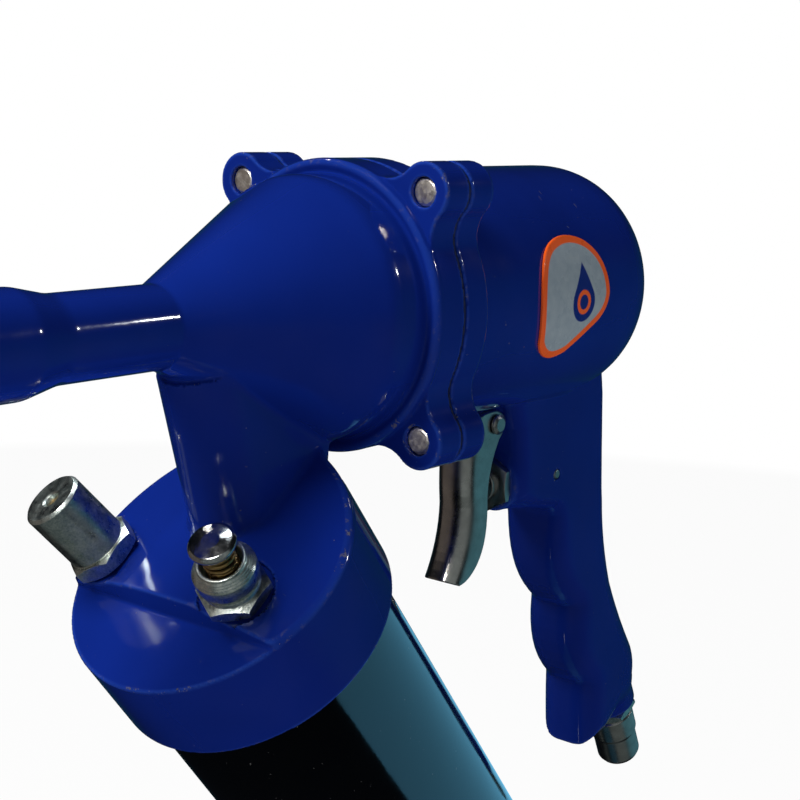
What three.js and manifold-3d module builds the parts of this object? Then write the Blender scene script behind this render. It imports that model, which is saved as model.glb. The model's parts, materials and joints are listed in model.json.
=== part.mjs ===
// Pistol-grip pneumatic grease gun: cast pump head, cast air cylinder with grip, and a grease barrel.
// Millimetres, +Z up. The gun is built with the air cylinder's axis as the Y axis, the nose along -Y and
// the flange's front face at y = 0, then moved so that its bounding box is centred on the origin. The
// grease barrel hangs below, leaning back.
import * as THREE from "three";
import { mergeVertices } from "three/addons/utils/BufferGeometryUtils.js";
import Module from "manifold-3d";

const wasm = await Module();
wasm.setup();

// ---- Driving dimensions -------------------------------------------------------------------------
const GAP = 0.3; // clearance between separate pieces
const ROUND = 28; // facets on a large turned surface
const SMALL_ROUND = 14; // facets on a small turned surface

const SCREW_OFFSET = 25.6; // flange screws sit at this distance from the axis in X and in Z
const FLANGE_RADIUS = 31.5;
const EAR_RADIUS = 6.2;
const EAR_FILLET = 8;
const FRONT_PLATE = 7.5; // thickness of the pump head's flange
const GASKET = 0.6;
const REAR_PLATE_FRONT = 8.4;
const REAR_PLATE_BACK = 16.2;
const SCREW_RADIUS = 2.9;
const SCREW_HEAD_RADIUS = 4.7;

const NOSE_RADIUS = 8.3;
const COLLAR_RADIUS = 10.1;
const NOSE_TIP = -100;
const DRUM_RADIUS = 28.3;
const CAVITY_RADIUS = 24.4;
const CAVITY_FRONT = -26;

const CYLINDER_RADIUS = 29.2;
const CYLINDER_BORE = 25.4;
const CYLINDER_END = 99;
const BORE_END = 88;

const PUMP_BORE = 4.3;
const PLUNGER_RADIUS = 4.0;
const PLUNGER_TIP = -34.5;
const PISTON_FRONT = 74;
const CHECK_SEAT = -77;

const BARREL_TILT = 37.58; // lean of the barrel from the vertical, in degrees
const CAP_CENTRE = [-0.4, -35.27, -47.7]; // on the barrel's axis, level with the cap's rim
const CAP_RADIUS = 31.7;
const CAP_HEIGHT = 23.5;
const CAP_CROWN = 2.2; // height of the cap's top face
const CAP_STEP = 2.6; // the front segment of the cap's top lies this far below the rim's level
const CAP_STEP_AT = 14.1; // foot of the step, in front of the cap's centre
const CAP_STEP_LEAN = 0.27; // the step's wall leans back by this slope
const CAP_FACETS = [ // the top falls away to the right and left: from this x, by this slope
  [10.5, 0.205],
  [-9.6, 0.138],
];
const BARREL_RADIUS = 28.5;
const BARREL_BORE = 27.3;
const BARREL_TOP = -7.5; // along the barrel axis from the cap's top face
const BARREL_BOTTOM = -236;

const NECK_RADIUS = 9.8;
const NECK_LEAN = 15.6; // degrees
const NECK_POINT = [0, -29.65, -30];

const TRIGGER_PIVOT = [57, -33]; // y, z
const TRIGGER_HALF_WIDTH = 4.7;
const TRIGGER_SHEET = 1.2;
const VALVE_Z = -49.5;
const BOSS_FRONT = 63.5;
const RETAINING_PIN = [79.5, -48.7]; // y, z of the pin that holds the valve in the grip
const GRIP_HALF_WIDTH = 9.6;

const INLET_POINT = [0, 126, -125];
const INLET_AXIS = [0, 0.43, -0.903];

// ---- Materials ----------------------------------------------------------------------------------
const material = (color, roughness, metalness) => ({ color, roughness, metalness });
const BLUE_PAINT = material(0x0b2a9a, 0.25, 0.1);
const BLACK_PAINT = material(0x101216, 0.3, 0.2);
const ZINC = material(0xa7aaa6, 0.35, 1);
const CHROME = material(0xc8c8c6, 0.12, 1);
const STEEL = material(0x8d8f92, 0.4, 1);
const SPRING_STEEL = material(0x6f7276, 0.45, 1);
const BRASS = material(0xb28a4a, 0.35, 1);
const ALLOY = material(0xb9bcc0, 0.45, 0.9);
const RUBBER = material(0x17181a, 0.8, 0);
const GASKET_FIBRE = material(0x1c2430, 0.85, 0);
const BADGE_FACE = material(0x8f9ba6, 0.4, 0.3);

// ---- Solids -------------------------------------------------------------------------------------

// A closed geometry as a manifold solid, with repeated vertices and empty triangles removed.
function solidOf(geometry) {
  const bare = geometry.clone();
  bare.deleteAttribute("normal");
  bare.deleteAttribute("uv");
  const merged = mergeVertices(bare, 1e-4);
  const source = merged.index.array;
  const corners = [];
  for (let i = 0; i < source.length; i += 3) {
    const [a, b, c] = [source[i], source[i + 1], source[i + 2]];
    if (a !== b && b !== c && c !== a) corners.push(a, b, c);
  }
  const build = (triVerts) =>
    new wasm.Manifold(
      new wasm.Mesh({ numProp: 3, vertProperties: merged.attributes.position.array, triVerts }),
    );
  const made = build(new Uint32Array(corners));
  return made.volume() > 0 ? made : build(new Uint32Array(corners.reverse()));
}

function geometryOf(solid) {
  const { vertProperties, triVerts, numProp } = solid.getMesh();
  const positions = new Float32Array((vertProperties.length / numProp) * 3);
  for (let i = 0; i < positions.length / 3; i++) {
    positions.set(vertProperties.subarray(i * numProp, i * numProp + 3), i * 3);
  }
  const geometry = new THREE.BufferGeometry();
  geometry.setAttribute("position", new THREE.BufferAttribute(positions, 3));
  geometry.setIndex(new THREE.BufferAttribute(triVerts, 1));
  return geometry;
}

const joined = (first, ...rest) => rest.reduce((sum, part) => sum.add(part), first);
const cut = (first, ...rest) => rest.reduce((left, part) => left.subtract(part), first);

// A turned solid about the Y axis. The profile is [y, radius] pairs, from axis to axis.
function turned(profile, facets = SMALL_ROUND, frame = null) {
  const points = profile.map(([y, r]) => new THREE.Vector2(r, y));
  const geometry = new THREE.LatheGeometry(points, facets);
  if (frame) geometry.applyMatrix4(frame);
  return solidOf(geometry);
}

// A turned ring or tube about the Y axis, whose profile closes on itself off the axis.
const turnedRing = (profile, facets, frame) => turned([...profile, profile[0]], facets, frame);

// A plain cylinder about the Y axis between two heights.
const rod = (radius, from, to, facets, frame) =>
  turned(
    [
      [from, 0],
      [from, radius],
      [to, radius],
      [to, 0],
    ],
    facets,
    frame,
  );

// A plain tube about the Y axis.
const tube = (outer, inner, from, to, facets, frame) =>
  turnedRing(
    [
      [from, inner],
      [from, outer],
      [to, outer],
      [to, inner],
    ],
    facets,
    frame,
  );

// A hexagonal prism along Y with chamfered ends, turned in six facets.
function hexagon(acrossFlats, from, to, frame = null, chamfer = 0.5) {
  const corner = acrossFlats / Math.sqrt(3);
  return turned(
    [
      [from, 0],
      [from, corner - chamfer],
      [from + chamfer * 0.6, corner],
      [to - chamfer * 0.6, corner],
      [to, corner - chamfer],
      [to, 0],
    ],
    6,
    frame,
  );
}

// A frame whose local +Y axis lies along the given direction and whose local X stays near world X.
function frameAlong(origin, direction) {
  const y = new THREE.Vector3(...direction).normalize();
  const x = new THREE.Vector3(1, 0, 0);
  x.addScaledVector(y, -x.dot(y)).normalize();
  const z = new THREE.Vector3().crossVectors(x, y);
  return new THREE.Matrix4().makeBasis(x, y, z).setPosition(...origin);
}

// A flat outline in the YZ plane, extruded along X from -half to +half, with rounded long edges.
function sideSlab(points, half, round = 0, roundSteps = 2, frame = null) {
  const shape = new THREE.Shape(points.map(([y, z]) => new THREE.Vector2(y, z)));
  const geometry = new THREE.ExtrudeGeometry(shape, {
    depth: 2 * (half - round),
    bevelEnabled: round > 0,
    bevelThickness: round,
    bevelSize: round,
    bevelOffset: -round,
    bevelSegments: roundSteps,
    curveSegments: 6,
  });
  geometry.translate(0, 0, -(half - round));
  const basis = new THREE.Matrix4().makeBasis(
    new THREE.Vector3(0, 1, 0),
    new THREE.Vector3(0, 0, 1),
    new THREE.Vector3(1, 0, 0),
  );
  geometry.applyMatrix4(basis);
  return solidOf(frame ? geometry.applyMatrix4(frame) : geometry);
}

// A flat outline in the XZ plane, extruded along +Y from one height to another.
function plate(shape, from, to) {
  const geometry = new THREE.ExtrudeGeometry(shape, { depth: to - from, bevelEnabled: false });
  geometry.rotateX(Math.PI / 2);
  geometry.translate(0, to, 0);
  return solidOf(geometry);
}

// A round wire wound into an open coil about the Y axis.
function coil(radius, wire, from, to, turns, stepsPerTurn = 10, frame = null) {
  class Helix extends THREE.Curve {
    getPoint(t, target = new THREE.Vector3()) {
      const angle = 2 * Math.PI * turns * t;
      const height = from + wire + (to - from - 2 * wire) * t;
      return target.set(radius * Math.cos(angle), height, radius * Math.sin(angle));
    }
  }
  const section = new THREE.Shape();
  section.absarc(0, 0, wire, 0, 2 * Math.PI);
  const geometry = new THREE.ExtrudeGeometry(section, {
    steps: Math.round(turns * stepsPerTurn),
    extrudePath: new Helix(),
    curveSegments: 2,
    bevelEnabled: false,
  });
  if (frame) geometry.applyMatrix4(frame);
  return solidOf(geometry);
}

// ---- Shared frames ------------------------------------------------------------------------------
const tilt = THREE.MathUtils.degToRad(BARREL_TILT);
const CAP_NORMAL = [0, -Math.sin(tilt), Math.cos(tilt)];
const BARREL_FRAME = frameAlong(CAP_CENTRE, CAP_NORMAL);
const lean = THREE.MathUtils.degToRad(NECK_LEAN);
const NECK_FRAME = frameAlong(NECK_POINT, [0, -Math.sin(lean), Math.cos(lean)]);
const INLET_FRAME = frameAlong(INLET_POINT, INLET_AXIS);
const VALVE_FRAME = new THREE.Matrix4().makeTranslation(0, 0, VALVE_Z);

// A fitting on the cap's top face: its base lies at [x, height, forward] from the cap's centre and its
// axis leans sideways and forward by the given slopes.
function fittingFrame(base, sideSlope, forwardSlope) {
  const local = frameAlong(base, [sideSlope, 1, forwardSlope]);
  return new THREE.Matrix4().multiplyMatrices(BARREL_FRAME, local);
}
const FILLER_FRAME = fittingFrame([-23.2, 0, 6.4], -0.2, 0.06);
const BLEEDER_FRAME = fittingFrame([15.1, 1.8, 6.7], 0.2, 0);

// ---- Outlines -----------------------------------------------------------------------------------

// The flange's outline: a disc with four round ears at the screws, blended by concave fillets.
function flangeOutline(discRadius, earRadius, fillet) {
  const earDistance = SCREW_OFFSET * Math.SQRT2;
  const toFillet = discRadius + fillet;
  const earToFillet = earRadius + fillet;
  const cosine =
    (toFillet ** 2 + earDistance ** 2 - earToFillet ** 2) / (2 * toFillet * earDistance);
  const spread = Math.acos(cosine); // angle between the ear and its fillet's centre, seen from the axis
  const points = [];
  const arc = (centre, radius, from, to, steps) => {
    for (let i = 0; i < steps; i++) {
      const angle = from + ((to - from) * i) / steps;
      const x = centre.x + radius * Math.cos(angle);
      points.push(new THREE.Vector2(x, centre.y + radius * Math.sin(angle)));
    }
  };
  const polar = (angle, distance) =>
    new THREE.Vector2(distance * Math.cos(angle), distance * Math.sin(angle));
  const half = Math.acos((toFillet * Math.cos(spread) - earDistance) / earToFillet);
  for (let k = 0; k < 4; k++) {
    const middle = Math.PI / 4 + (k * Math.PI) / 2;
    const before = polar(middle - spread, toFillet);
    const after = polar(middle + spread, toFillet);
    arc(before, fillet, middle - spread + Math.PI, middle - half + Math.PI, 3);
    arc(polar(middle, earDistance), earRadius, middle - half, middle + half, 9);
    arc(after, fillet, middle + half + Math.PI, middle + spread + Math.PI, 3);
    arc(polar(0, 0), discRadius, middle + spread, middle + Math.PI / 2 - spread, 4);
  }
  return new THREE.Shape(points);
}

const screwPlaces = [
  [SCREW_OFFSET, SCREW_OFFSET],
  [-SCREW_OFFSET, SCREW_OFFSET],
  [-SCREW_OFFSET, -SCREW_OFFSET],
  [SCREW_OFFSET, -SCREW_OFFSET],
];
const at = (x, z) => new THREE.Matrix4().makeTranslation(x, 0, z);

// ---- Pump head ----------------------------------------------------------------------------------
function pumpHead() {
  const outside = turned(
    [
      [NOSE_TIP, 0],
      [NOSE_TIP, COLLAR_RADIUS - 0.8],
      [NOSE_TIP + 0.8, COLLAR_RADIUS],
      [-84, COLLAR_RADIUS],
      [-80.5, 9.6],
      [-75, 8.5],
      [-71, NOSE_RADIUS],
      [-49.8, NOSE_RADIUS],
      [-47.6, 9],
      [-14.5, 26],
      [-12, 27.2],
      [-9.5, 27.9],
      [-6, DRUM_RADIUS],
      [-2.4, DRUM_RADIUS],
      [-1, 28.9],
      [-0.7, 30.3],
      [0.5, 30.3],
      [0.5, 0],
    ],
    ROUND,
  );
  const flange = plate(flangeOutline(FLANGE_RADIUS, EAR_RADIUS, EAR_FILLET), 0, FRONT_PLATE);
  const neck = rod(NECK_RADIUS, -19, 22, 20, NECK_FRAME);
  const web = sideSlab(
    [
      [-35.8, -8],
      [-24.4, -48.6],
      [-9.5, -30.5],
      [-8, -20],
      [-16, -8],
    ],
    NECK_RADIUS,
  );
  const fillerPad = rod(7, -3, 2, 16, FILLER_FRAME);
  const solid = joined(outside, flange, neck, web, barrelCap(), fillerPad);
  return cut(solid, ...headCavities());
}

function barrelCap() {
  const body = turned(
    [
      [-CAP_HEIGHT, 0],
      [-CAP_HEIGHT, CAP_RADIUS - 0.5],
      [-CAP_HEIGHT + 0.5, CAP_RADIUS],
      [CAP_CROWN - 0.9, CAP_RADIUS],
      [CAP_CROWN, CAP_RADIUS - 0.9],
      [CAP_CROWN, 0],
    ],
    ROUND + 4,
    BARREL_FRAME,
  );
  const above = CAP_CROWN + 4;
  const lowFront = sideSlab(
    [
      [above, CAP_STEP_AT - CAP_STEP_LEAN * (above + CAP_STEP)],
      [-CAP_STEP, CAP_STEP_AT],
      [-CAP_STEP, 50],
      [above, 50],
    ],
    40,
    0,
    0,
    BARREL_FRAME,
  );
  const [right, left] = CAP_FACETS;
  return cut(body, lowFront, sideFacet(1, ...right), sideFacet(-1, ...left));
}

// What lies above a plane that falls away sideways from x = start, over the whole cap.
function sideFacet(side, start, slope) {
  const length = 40;
  const wedge = new THREE.Shape([
    new THREE.Vector2(start, CAP_CROWN),
    new THREE.Vector2(start + side * length, CAP_CROWN - slope * length),
    new THREE.Vector2(start + side * length, CAP_CROWN + 4),
  ]);
  const geometry = new THREE.ExtrudeGeometry(wedge, { depth: 80, bevelEnabled: false });
  geometry.translate(0, 0, -40);
  return solidOf(geometry.applyMatrix4(BARREL_FRAME));
}

// Threaded holes and spot faces for the two fittings, square to their own leaning axes.
const fittingSeats = () => [
  rod(3.3, -12, 6, 12, FILLER_FRAME),
  rod(8.7, 0, 9, 18, FILLER_FRAME),
  rod(3.3, -12, 6, 12, BLEEDER_FRAME),
  rod(8.4, -1.5, 9, 18, BLEEDER_FRAME),
];

function headCavities() {
  const springRoom = turned(
    [
      [CAVITY_FRONT, 0],
      [CAVITY_FRONT, 14],
      [-10, CAVITY_RADIUS],
      [20, CAVITY_RADIUS],
      [20, 0],
    ],
    ROUND,
  );
  const packingPocket = rod(7.2, -34, CAVITY_FRONT + 1, 18);
  const pumpBore = rod(PUMP_BORE, CHECK_SEAT, CAVITY_FRONT, 18);
  const seatHole = rod(2.2, CHECK_SEAT - 3, CHECK_SEAT + 1, 12);
  const outletBore = rod(5.6, NOSE_TIP - 1, CHECK_SEAT - 2, 18);
  const greaseWay = rod(3.5, -24, 34, 12, NECK_FRAME);
  const barrelPocket = rod(BARREL_RADIUS + GAP, -CAP_HEIGHT - 1, -4.6, ROUND, BARREL_FRAME);
  const holes = screwPlaces.map(([x, z]) => rod(SCREW_RADIUS + 0.4, -1, 9, 12, at(x, z)));
  const bores = [springRoom, packingPocket, pumpBore, seatHole, outletBore, greaseWay];
  return [...bores, barrelPocket, ...holes, ...fittingSeats()];
}

// ---- Air cylinder and grip ----------------------------------------------------------------------

// Outline of the grip in the YZ plane: front with three finger swells, foot, and rear edge.
const GRIP_FRONT = [
  [58, -20],
  [60.5, -29],
  [62.6, -35],
  [63.4, -41],
  [BOSS_FRONT + 0.6, -51],
  [67, -55.4],
  [78.5, -58.2],
  [82.6, -61.6],
  [83.2, -70],
  [85.2, -78],
  [88.6, -83.6],
  [93.6, -88.2],
  [93.9, -95],
  [96.2, -103.4],
  [99.2, -108.6],
  [102.6, -113],
  [104.2, -131.8],
];
const GRIP_FOOT = [[113.5, -130.4]];
const GRIP_REAR = [
  [127.4, -120.6],
  [129.8, -112],
  [128.4, -107.4],
  [120.8, -96],
  [114.8, -84.6],
  [110.4, -75.6],
  [106.8, -66],
  [104.9, -58],
  [103.9, -46],
  [102.8, -30],
  [101.4, -22],
  [92, -18],
];

function gripHousing() {
  const cylinder = turned(
    [
      [REAR_PLATE_FRONT, 0],
      [REAR_PLATE_FRONT, CYLINDER_RADIUS],
      [78, CYLINDER_RADIUS],
      [84, 28.4],
      [89, 26.4],
      [93, 23.2],
      [96.4, 17.8],
      [98.4, 10],
      [CYLINDER_END, 0],
    ],
    ROUND,
  );
  const outline = flangeOutline(FLANGE_RADIUS, EAR_RADIUS, EAR_FILLET);
  const flange = plate(outline, REAR_PLATE_FRONT, REAR_PLATE_BACK);
  const grip = sideSlab([...GRIP_FRONT, ...GRIP_FOOT, ...GRIP_REAR], GRIP_HALF_WIDTH, 3.6);
  const boss = rod(7.6, BOSS_FRONT, 84, 20, VALVE_FRAME);
  const [pivotY, pivotZ] = TRIGGER_PIVOT;
  const lugHalf = TRIGGER_HALF_WIDTH - TRIGGER_SHEET - GAP;
  const lug = sideSlab(
    [
      [pivotY - 5, -26],
      [pivotY - 4, pivotZ - 1.5],
      [pivotY - 1.5, pivotZ - 4],
      [pivotY + 2, pivotZ - 4.2],
      [BOSS_FRONT + 4, pivotZ - 6],
      [BOSS_FRONT + 4, -26],
    ],
    lugHalf,
  );
  const inletBoss = rod(8.2, -8, 1.2, 24, INLET_FRAME);
  return cut(joined(cylinder, flange, grip, boss, lug, inletBoss), ...housingCavities());
}

function housingCavities() {
  const [pivotY, pivotZ] = TRIGGER_PIVOT;
  const bore = turned(
    [
      [REAR_PLATE_FRONT - 1, 0],
      [REAR_PLATE_FRONT - 1, CYLINDER_BORE],
      [82, CYLINDER_BORE],
      [BORE_END, 20],
      [BORE_END, 0],
    ],
    ROUND,
  );
  const valveBore = rod(5.9, BOSS_FRONT - 1, 92, 16, VALVE_FRAME);
  const transfer = rod(2.6, 0, -VALVE_Z, 12, frameAlong([0, 81, VALVE_Z], [0, 0, 1]));
  const supply = rod(3.4, 0, 78, 12, frameAlong([0, 88, VALVE_Z], [0, 0.45, -0.893]));
  const inletBore = rod(5.6, -14, 2, 18, INLET_FRAME);
  const pivotHole = rod(1.75, -12, 12, 12, crossFrame(pivotY, pivotZ));
  const pinHole = rod(1.6, 3, 12, 12, crossFrame(...RETAINING_PIN));
  const holes = screwPlaces.flatMap(([x, z]) => [
    rod(SCREW_RADIUS + 0.4, REAR_PLATE_FRONT - 1, REAR_PLATE_BACK + 1, 12, at(x, z)),
    rod(SCREW_HEAD_RADIUS + 0.35, REAR_PLATE_BACK - 4.8, REAR_PLATE_BACK + 8, 16, at(x, z)),
  ]);
  return [bore, valveBore, transfer, supply, inletBore, pivotHole, pinHole, ...holes];
}

// A frame whose local +Y runs along world +X through a point of the YZ plane.
function crossFrame(y, z) {
  const basis = new THREE.Matrix4().makeBasis(
    new THREE.Vector3(0, 1, 0),
    new THREE.Vector3(1, 0, 0),
    new THREE.Vector3(0, 0, -1),
  );
  return basis.setPosition(0, y, z);
}

function flangeGasket() {
  const ring = plate(flangeOutline(FLANGE_RADIUS - 0.7, EAR_RADIUS - 0.7, EAR_FILLET), 0, GASKET);
  const middle = rod(CYLINDER_BORE, -1, 2, ROUND);
  const holes = screwPlaces.map(([x, z]) => rod(SCREW_RADIUS + 0.4, -1, 2, 12, at(x, z)));
  return cut(ring, middle, ...holes);
}

function flangeScrew() {
  const tip = 0.5;
  const seat = REAR_PLATE_BACK - 4.5;
  const head = seat + 4.2;
  const body = turned([
    [tip, 0],
    [tip, SCREW_RADIUS - 0.6],
    [tip + 0.6, SCREW_RADIUS],
    [seat, SCREW_RADIUS],
    [seat, SCREW_HEAD_RADIUS],
    [head - 0.5, SCREW_HEAD_RADIUS],
    [head, SCREW_HEAD_RADIUS - 0.5],
    [head, 0],
  ]);
  return cut(body, rod(2.3, head - 2.2, head + 1, 6));
}

// ---- Pump internals -----------------------------------------------------------------------------
const packingGland = () =>
  joined(
    tube(6.9, PLUNGER_RADIUS + GAP, -30.2, CAVITY_FRONT + GAP + 0.1, 18),
    hexagon(19, CAVITY_FRONT + GAP, -22.5).subtract(rod(PLUNGER_RADIUS + GAP, -40, 0, 18)),
  );

const airPiston = () =>
  turnedRing(
    [
      [PISTON_FRONT, 4.3],
      [PISTON_FRONT, 22],
      [PISTON_FRONT + 1, 25.1],
      [PISTON_FRONT + 1.6, 25.1],
      [PISTON_FRONT + 1.6, 22.6],
      [PISTON_FRONT + 4.6, 22.6],
      [PISTON_FRONT + 4.6, 25.1],
      [PISTON_FRONT + 6.4, 25.1],
      [PISTON_FRONT + 6.4, 4.3],
    ],
    ROUND,
  );

const pistonSeal = () =>
  turnedRing(
    [
      [PISTON_FRONT + 1.8, 22.8],
      [PISTON_FRONT + 1.8, 24.4],
      [PISTON_FRONT + 2.6, 25.1],
      [PISTON_FRONT + 3.6, 25.1],
      [PISTON_FRONT + 4.4, 24.4],
      [PISTON_FRONT + 4.4, 22.8],
    ],
    ROUND,
  );

const pumpPlunger = () =>
  turned(
    [
      [PLUNGER_TIP, 0],
      [PLUNGER_TIP, PLUNGER_RADIUS - 0.5],
      [PLUNGER_TIP + 0.5, PLUNGER_RADIUS],
      [PISTON_FRONT - 5, PLUNGER_RADIUS],
      [PISTON_FRONT - 5, 7],
      [PISTON_FRONT - GAP, 7],
      [PISTON_FRONT - GAP, PLUNGER_RADIUS],
      [PISTON_FRONT + 12.4, PLUNGER_RADIUS],
      [PISTON_FRONT + 12.4, 0],
    ],
    18,
  );

const pistonNut = () => {
  const from = PISTON_FRONT + 6.7;
  return hexagon(13, from, from + 5).subtract(rod(PLUNGER_RADIUS + GAP, from - 1, from + 6, 18));
};

const outletSpringSeat = () =>
  turnedRing(
    [
      [-98.6, 2],
      [-98.6, 5.3],
      [-89, 5.3],
      [-89, 2],
    ],
    18,
  );

// ---- Grease outlet ------------------------------------------------------------------------------
const OUTLET_BEND = 60; // bend radius of the outlet pipe
const OUTLET_ANGLE = THREE.MathUtils.degToRad(30);
const OUTLET_BEND_START = -140;
const OUTLET_STRAIGHT = 44; // straight length after the bend
const outletDirection = [0, -Math.cos(OUTLET_ANGLE), -Math.sin(OUTLET_ANGLE)];
const outletEnd = [
  0,
  OUTLET_BEND_START -
    OUTLET_BEND * Math.sin(OUTLET_ANGLE) -
    OUTLET_STRAIGHT * Math.cos(OUTLET_ANGLE),
  -OUTLET_BEND * (1 - Math.cos(OUTLET_ANGLE)) - OUTLET_STRAIGHT * Math.sin(OUTLET_ANGLE),
];
const COUPLER_FRAME = frameAlong(outletEnd, outletDirection);

// The pipe's centre line: straight out of the nose, a bend downwards, and a straight end.
function pipePath() {
  const path = new THREE.CurvePath();
  const start = new THREE.Vector3(0, -101.5, 0);
  const bendStart = new THREE.Vector3(0, OUTLET_BEND_START, 0);
  class Bend extends THREE.Curve {
    getPoint(t, target = new THREE.Vector3()) {
      const angle = OUTLET_ANGLE * t;
      const y = OUTLET_BEND_START - OUTLET_BEND * Math.sin(angle);
      return target.set(0, y, -OUTLET_BEND * (1 - Math.cos(angle)));
    }
  }
  const bend = new Bend();
  path.add(new THREE.LineCurve3(start, bendStart));
  path.add(bend);
  path.add(new THREE.LineCurve3(bend.getPoint(1), new THREE.Vector3(...outletEnd)));
  return path;
}

function outletPipe() {
  const ring = new THREE.Shape();
  ring.absarc(0, 0, 4, 0, 2 * Math.PI);
  const hole = new THREE.Path();
  hole.absarc(0, 0, 2, 0, 2 * Math.PI, true);
  ring.holes.push(hole);
  const geometry = new THREE.ExtrudeGeometry(ring, {
    steps: 12,
    extrudePath: pipePath(),
    curveSegments: 6,
    bevelEnabled: false,
  });
  return solidOf(geometry);
}

const outletNut = () =>
  cut(
    joined(hexagon(17, -112, NOSE_TIP - GAP), rod(7, -116, -111.9, 18)),
    rod(4 + GAP, -118, -98, 12),
  );

const couplerBody = () =>
  cut(
    joined(
      turned(
        [
          [-6, 0],
          [-6, 6.2],
          [-5, 7],
          [0.7, 7],
          [0.7, 0],
        ],
        24,
        COUPLER_FRAME,
      ),
      hexagon(14, 0.5, 8, COUPLER_FRAME),
      rod(5.2, 7.9, 16, 16, COUPLER_FRAME),
    ),
    rod(4 + GAP, -8, 2 + GAP, 12, COUPLER_FRAME),
    rod(2, 0, 18, 12, COUPLER_FRAME),
  );

const couplerSleeve = () =>
  turnedRing(
    [
      [8.4, 5.5],
      [8.4, 7.2],
      [9.4, 8],
      [20, 8],
      [27, 6.6],
      [27, 5.7],
      [20, 5.9],
      [18, 5.5],
    ],
    16,
    COUPLER_FRAME,
  );

function couplerJaws() {
  const body = turnedRing(
    [
      [16.4, 2],
      [16.4, 5.2],
      [27.4, 5.2],
      [31.5, 5.9],
      [32.6, 5.4],
      [32.6, 3.6],
      [30.4, 3.2],
      [29.4, 4],
      [24, 4],
      [22, 2],
    ],
    16,
    COUPLER_FRAME,
  );
  const slots = [0, 1].map((k) => {
    const slot = new THREE.BoxGeometry(14, 12, 0.8);
    slot.rotateY((k * Math.PI) / 2);
    slot.translate(0, 29.5, 0);
    return solidOf(slot.applyMatrix4(COUPLER_FRAME));
  });
  return cut(body, ...slots);
}

// ---- Grease barrel ------------------------------------------------------------------------------
const barrelTube = () =>
  turnedRing(
    [
      [BARREL_BOTTOM, BARREL_BORE],
      [BARREL_BOTTOM, BARREL_RADIUS],
      [BARREL_TOP, BARREL_RADIUS],
      [BARREL_TOP, BARREL_BORE],
    ],
    ROUND,
    BARREL_FRAME,
  );

const barrelGasket = () => tube(28.3, 25.4, BARREL_TOP + 0.25, -4.85, ROUND, BARREL_FRAME);

// A steel cap pressed over the lower end of the barrel, with a hole for the follower rod.
const barrelEndCap = () =>
  turnedRing(
    [
      [BARREL_BOTTOM - 3.2, 4.6],
      [BARREL_BOTTOM - 3.2, 9],
      [BARREL_BOTTOM - 1.6, 10],
      [BARREL_BOTTOM - 1.6, 28.6],
      [BARREL_BOTTOM - 0.2, 30],
      [BARREL_BOTTOM + 15, 30],
      [BARREL_BOTTOM + 15, BARREL_RADIUS + GAP],
      [BARREL_BOTTOM - GAP, BARREL_RADIUS + GAP],
      [BARREL_BOTTOM - GAP, 4.6],
    ],
    ROUND,
    BARREL_FRAME,
  );

const FOLLOWER_TOP = -12;
const followerPlate = () =>
  turnedRing(
    [
      [FOLLOWER_TOP - 8, 4.3],
      [FOLLOWER_TOP - 8, 20],
      [FOLLOWER_TOP - 4, 20],
      [FOLLOWER_TOP - 4, 26.4],
      [FOLLOWER_TOP - 2.6, 26.4],
      [FOLLOWER_TOP - 2.6, 4.3],
    ],
    ROUND,
    BARREL_FRAME,
  );

const followerSeal = () =>
  turnedRing(
    [
      [FOLLOWER_TOP - 2.3, 4.6],
      [FOLLOWER_TOP - 2.3, 25.6],
      [FOLLOWER_TOP + 2.6, 26.9],
      [FOLLOWER_TOP + 3, 26],
      [FOLLOWER_TOP, 24],
      [FOLLOWER_TOP, 4.6],
    ],
    ROUND,
    BARREL_FRAME,
  );

const ROD_BOTTOM = BARREL_BOTTOM - 12;
const followerRod = () =>
  turned(
    [
      [ROD_BOTTOM, 0],
      [ROD_BOTTOM, 4],
      [FOLLOWER_TOP + 3.6, 4],
      [FOLLOWER_TOP + 4.2, 3.4],
      [FOLLOWER_TOP + 4.2, 0],
    ],
    SMALL_ROUND,
    BARREL_FRAME,
  );

const followerNut = () =>
  hexagon(13, FOLLOWER_TOP + 0.3, FOLLOWER_TOP + 3.2, BARREL_FRAME).subtract(
    rod(4 + GAP, FOLLOWER_TOP - 1, FOLLOWER_TOP + 5, SMALL_ROUND, BARREL_FRAME),
  );

// The pull handle: a hub on the rod with a cross bar.
function rodHandle() {
  const hub = turned(
    [
      [ROD_BOTTOM - 9, 0],
      [ROD_BOTTOM - 9, 7],
      [ROD_BOTTOM - 7, 9],
      [ROD_BOTTOM + 3, 8],
      [ROD_BOTTOM + 8, 6.4],
      [ROD_BOTTOM + 8, 0],
    ],
    18,
    BARREL_FRAME,
  );
  const bar = turned(
    [
      [-27, 0],
      [-27, 4],
      [-25, 5.6],
      [-8, 5],
      [8, 5],
      [25, 5.6],
      [27, 4],
      [27, 0],
    ],
    20,
    new THREE.Matrix4().multiplyMatrices(BARREL_FRAME, crossFrame(ROD_BOTTOM - 4, 0)),
  );
  const socket = rod(4 + GAP, ROD_BOTTOM - GAP, ROD_BOTTOM + 10, SMALL_ROUND, BARREL_FRAME);
  return joined(hub, bar).subtract(socket);
}

// ---- Fittings on the cap ------------------------------------------------------------------------
const fillerBody = () =>
  cut(
    joined(
      rod(2.9, -4, 0.5, 12, FILLER_FRAME),
      hexagon(14, GAP, 4.1, FILLER_FRAME),
      turned(
        [
          [4, 0],
          [4, 6.5],
          [17.9, 6.5],
          [18.9, 5.7],
          [18.9, 0],
        ],
        28,
        FILLER_FRAME,
      ),
    ),
    rod(1.5, 16, 20, 12, FILLER_FRAME),
    rod(2.1, -7, 17, 12, FILLER_FRAME),
  );

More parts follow.
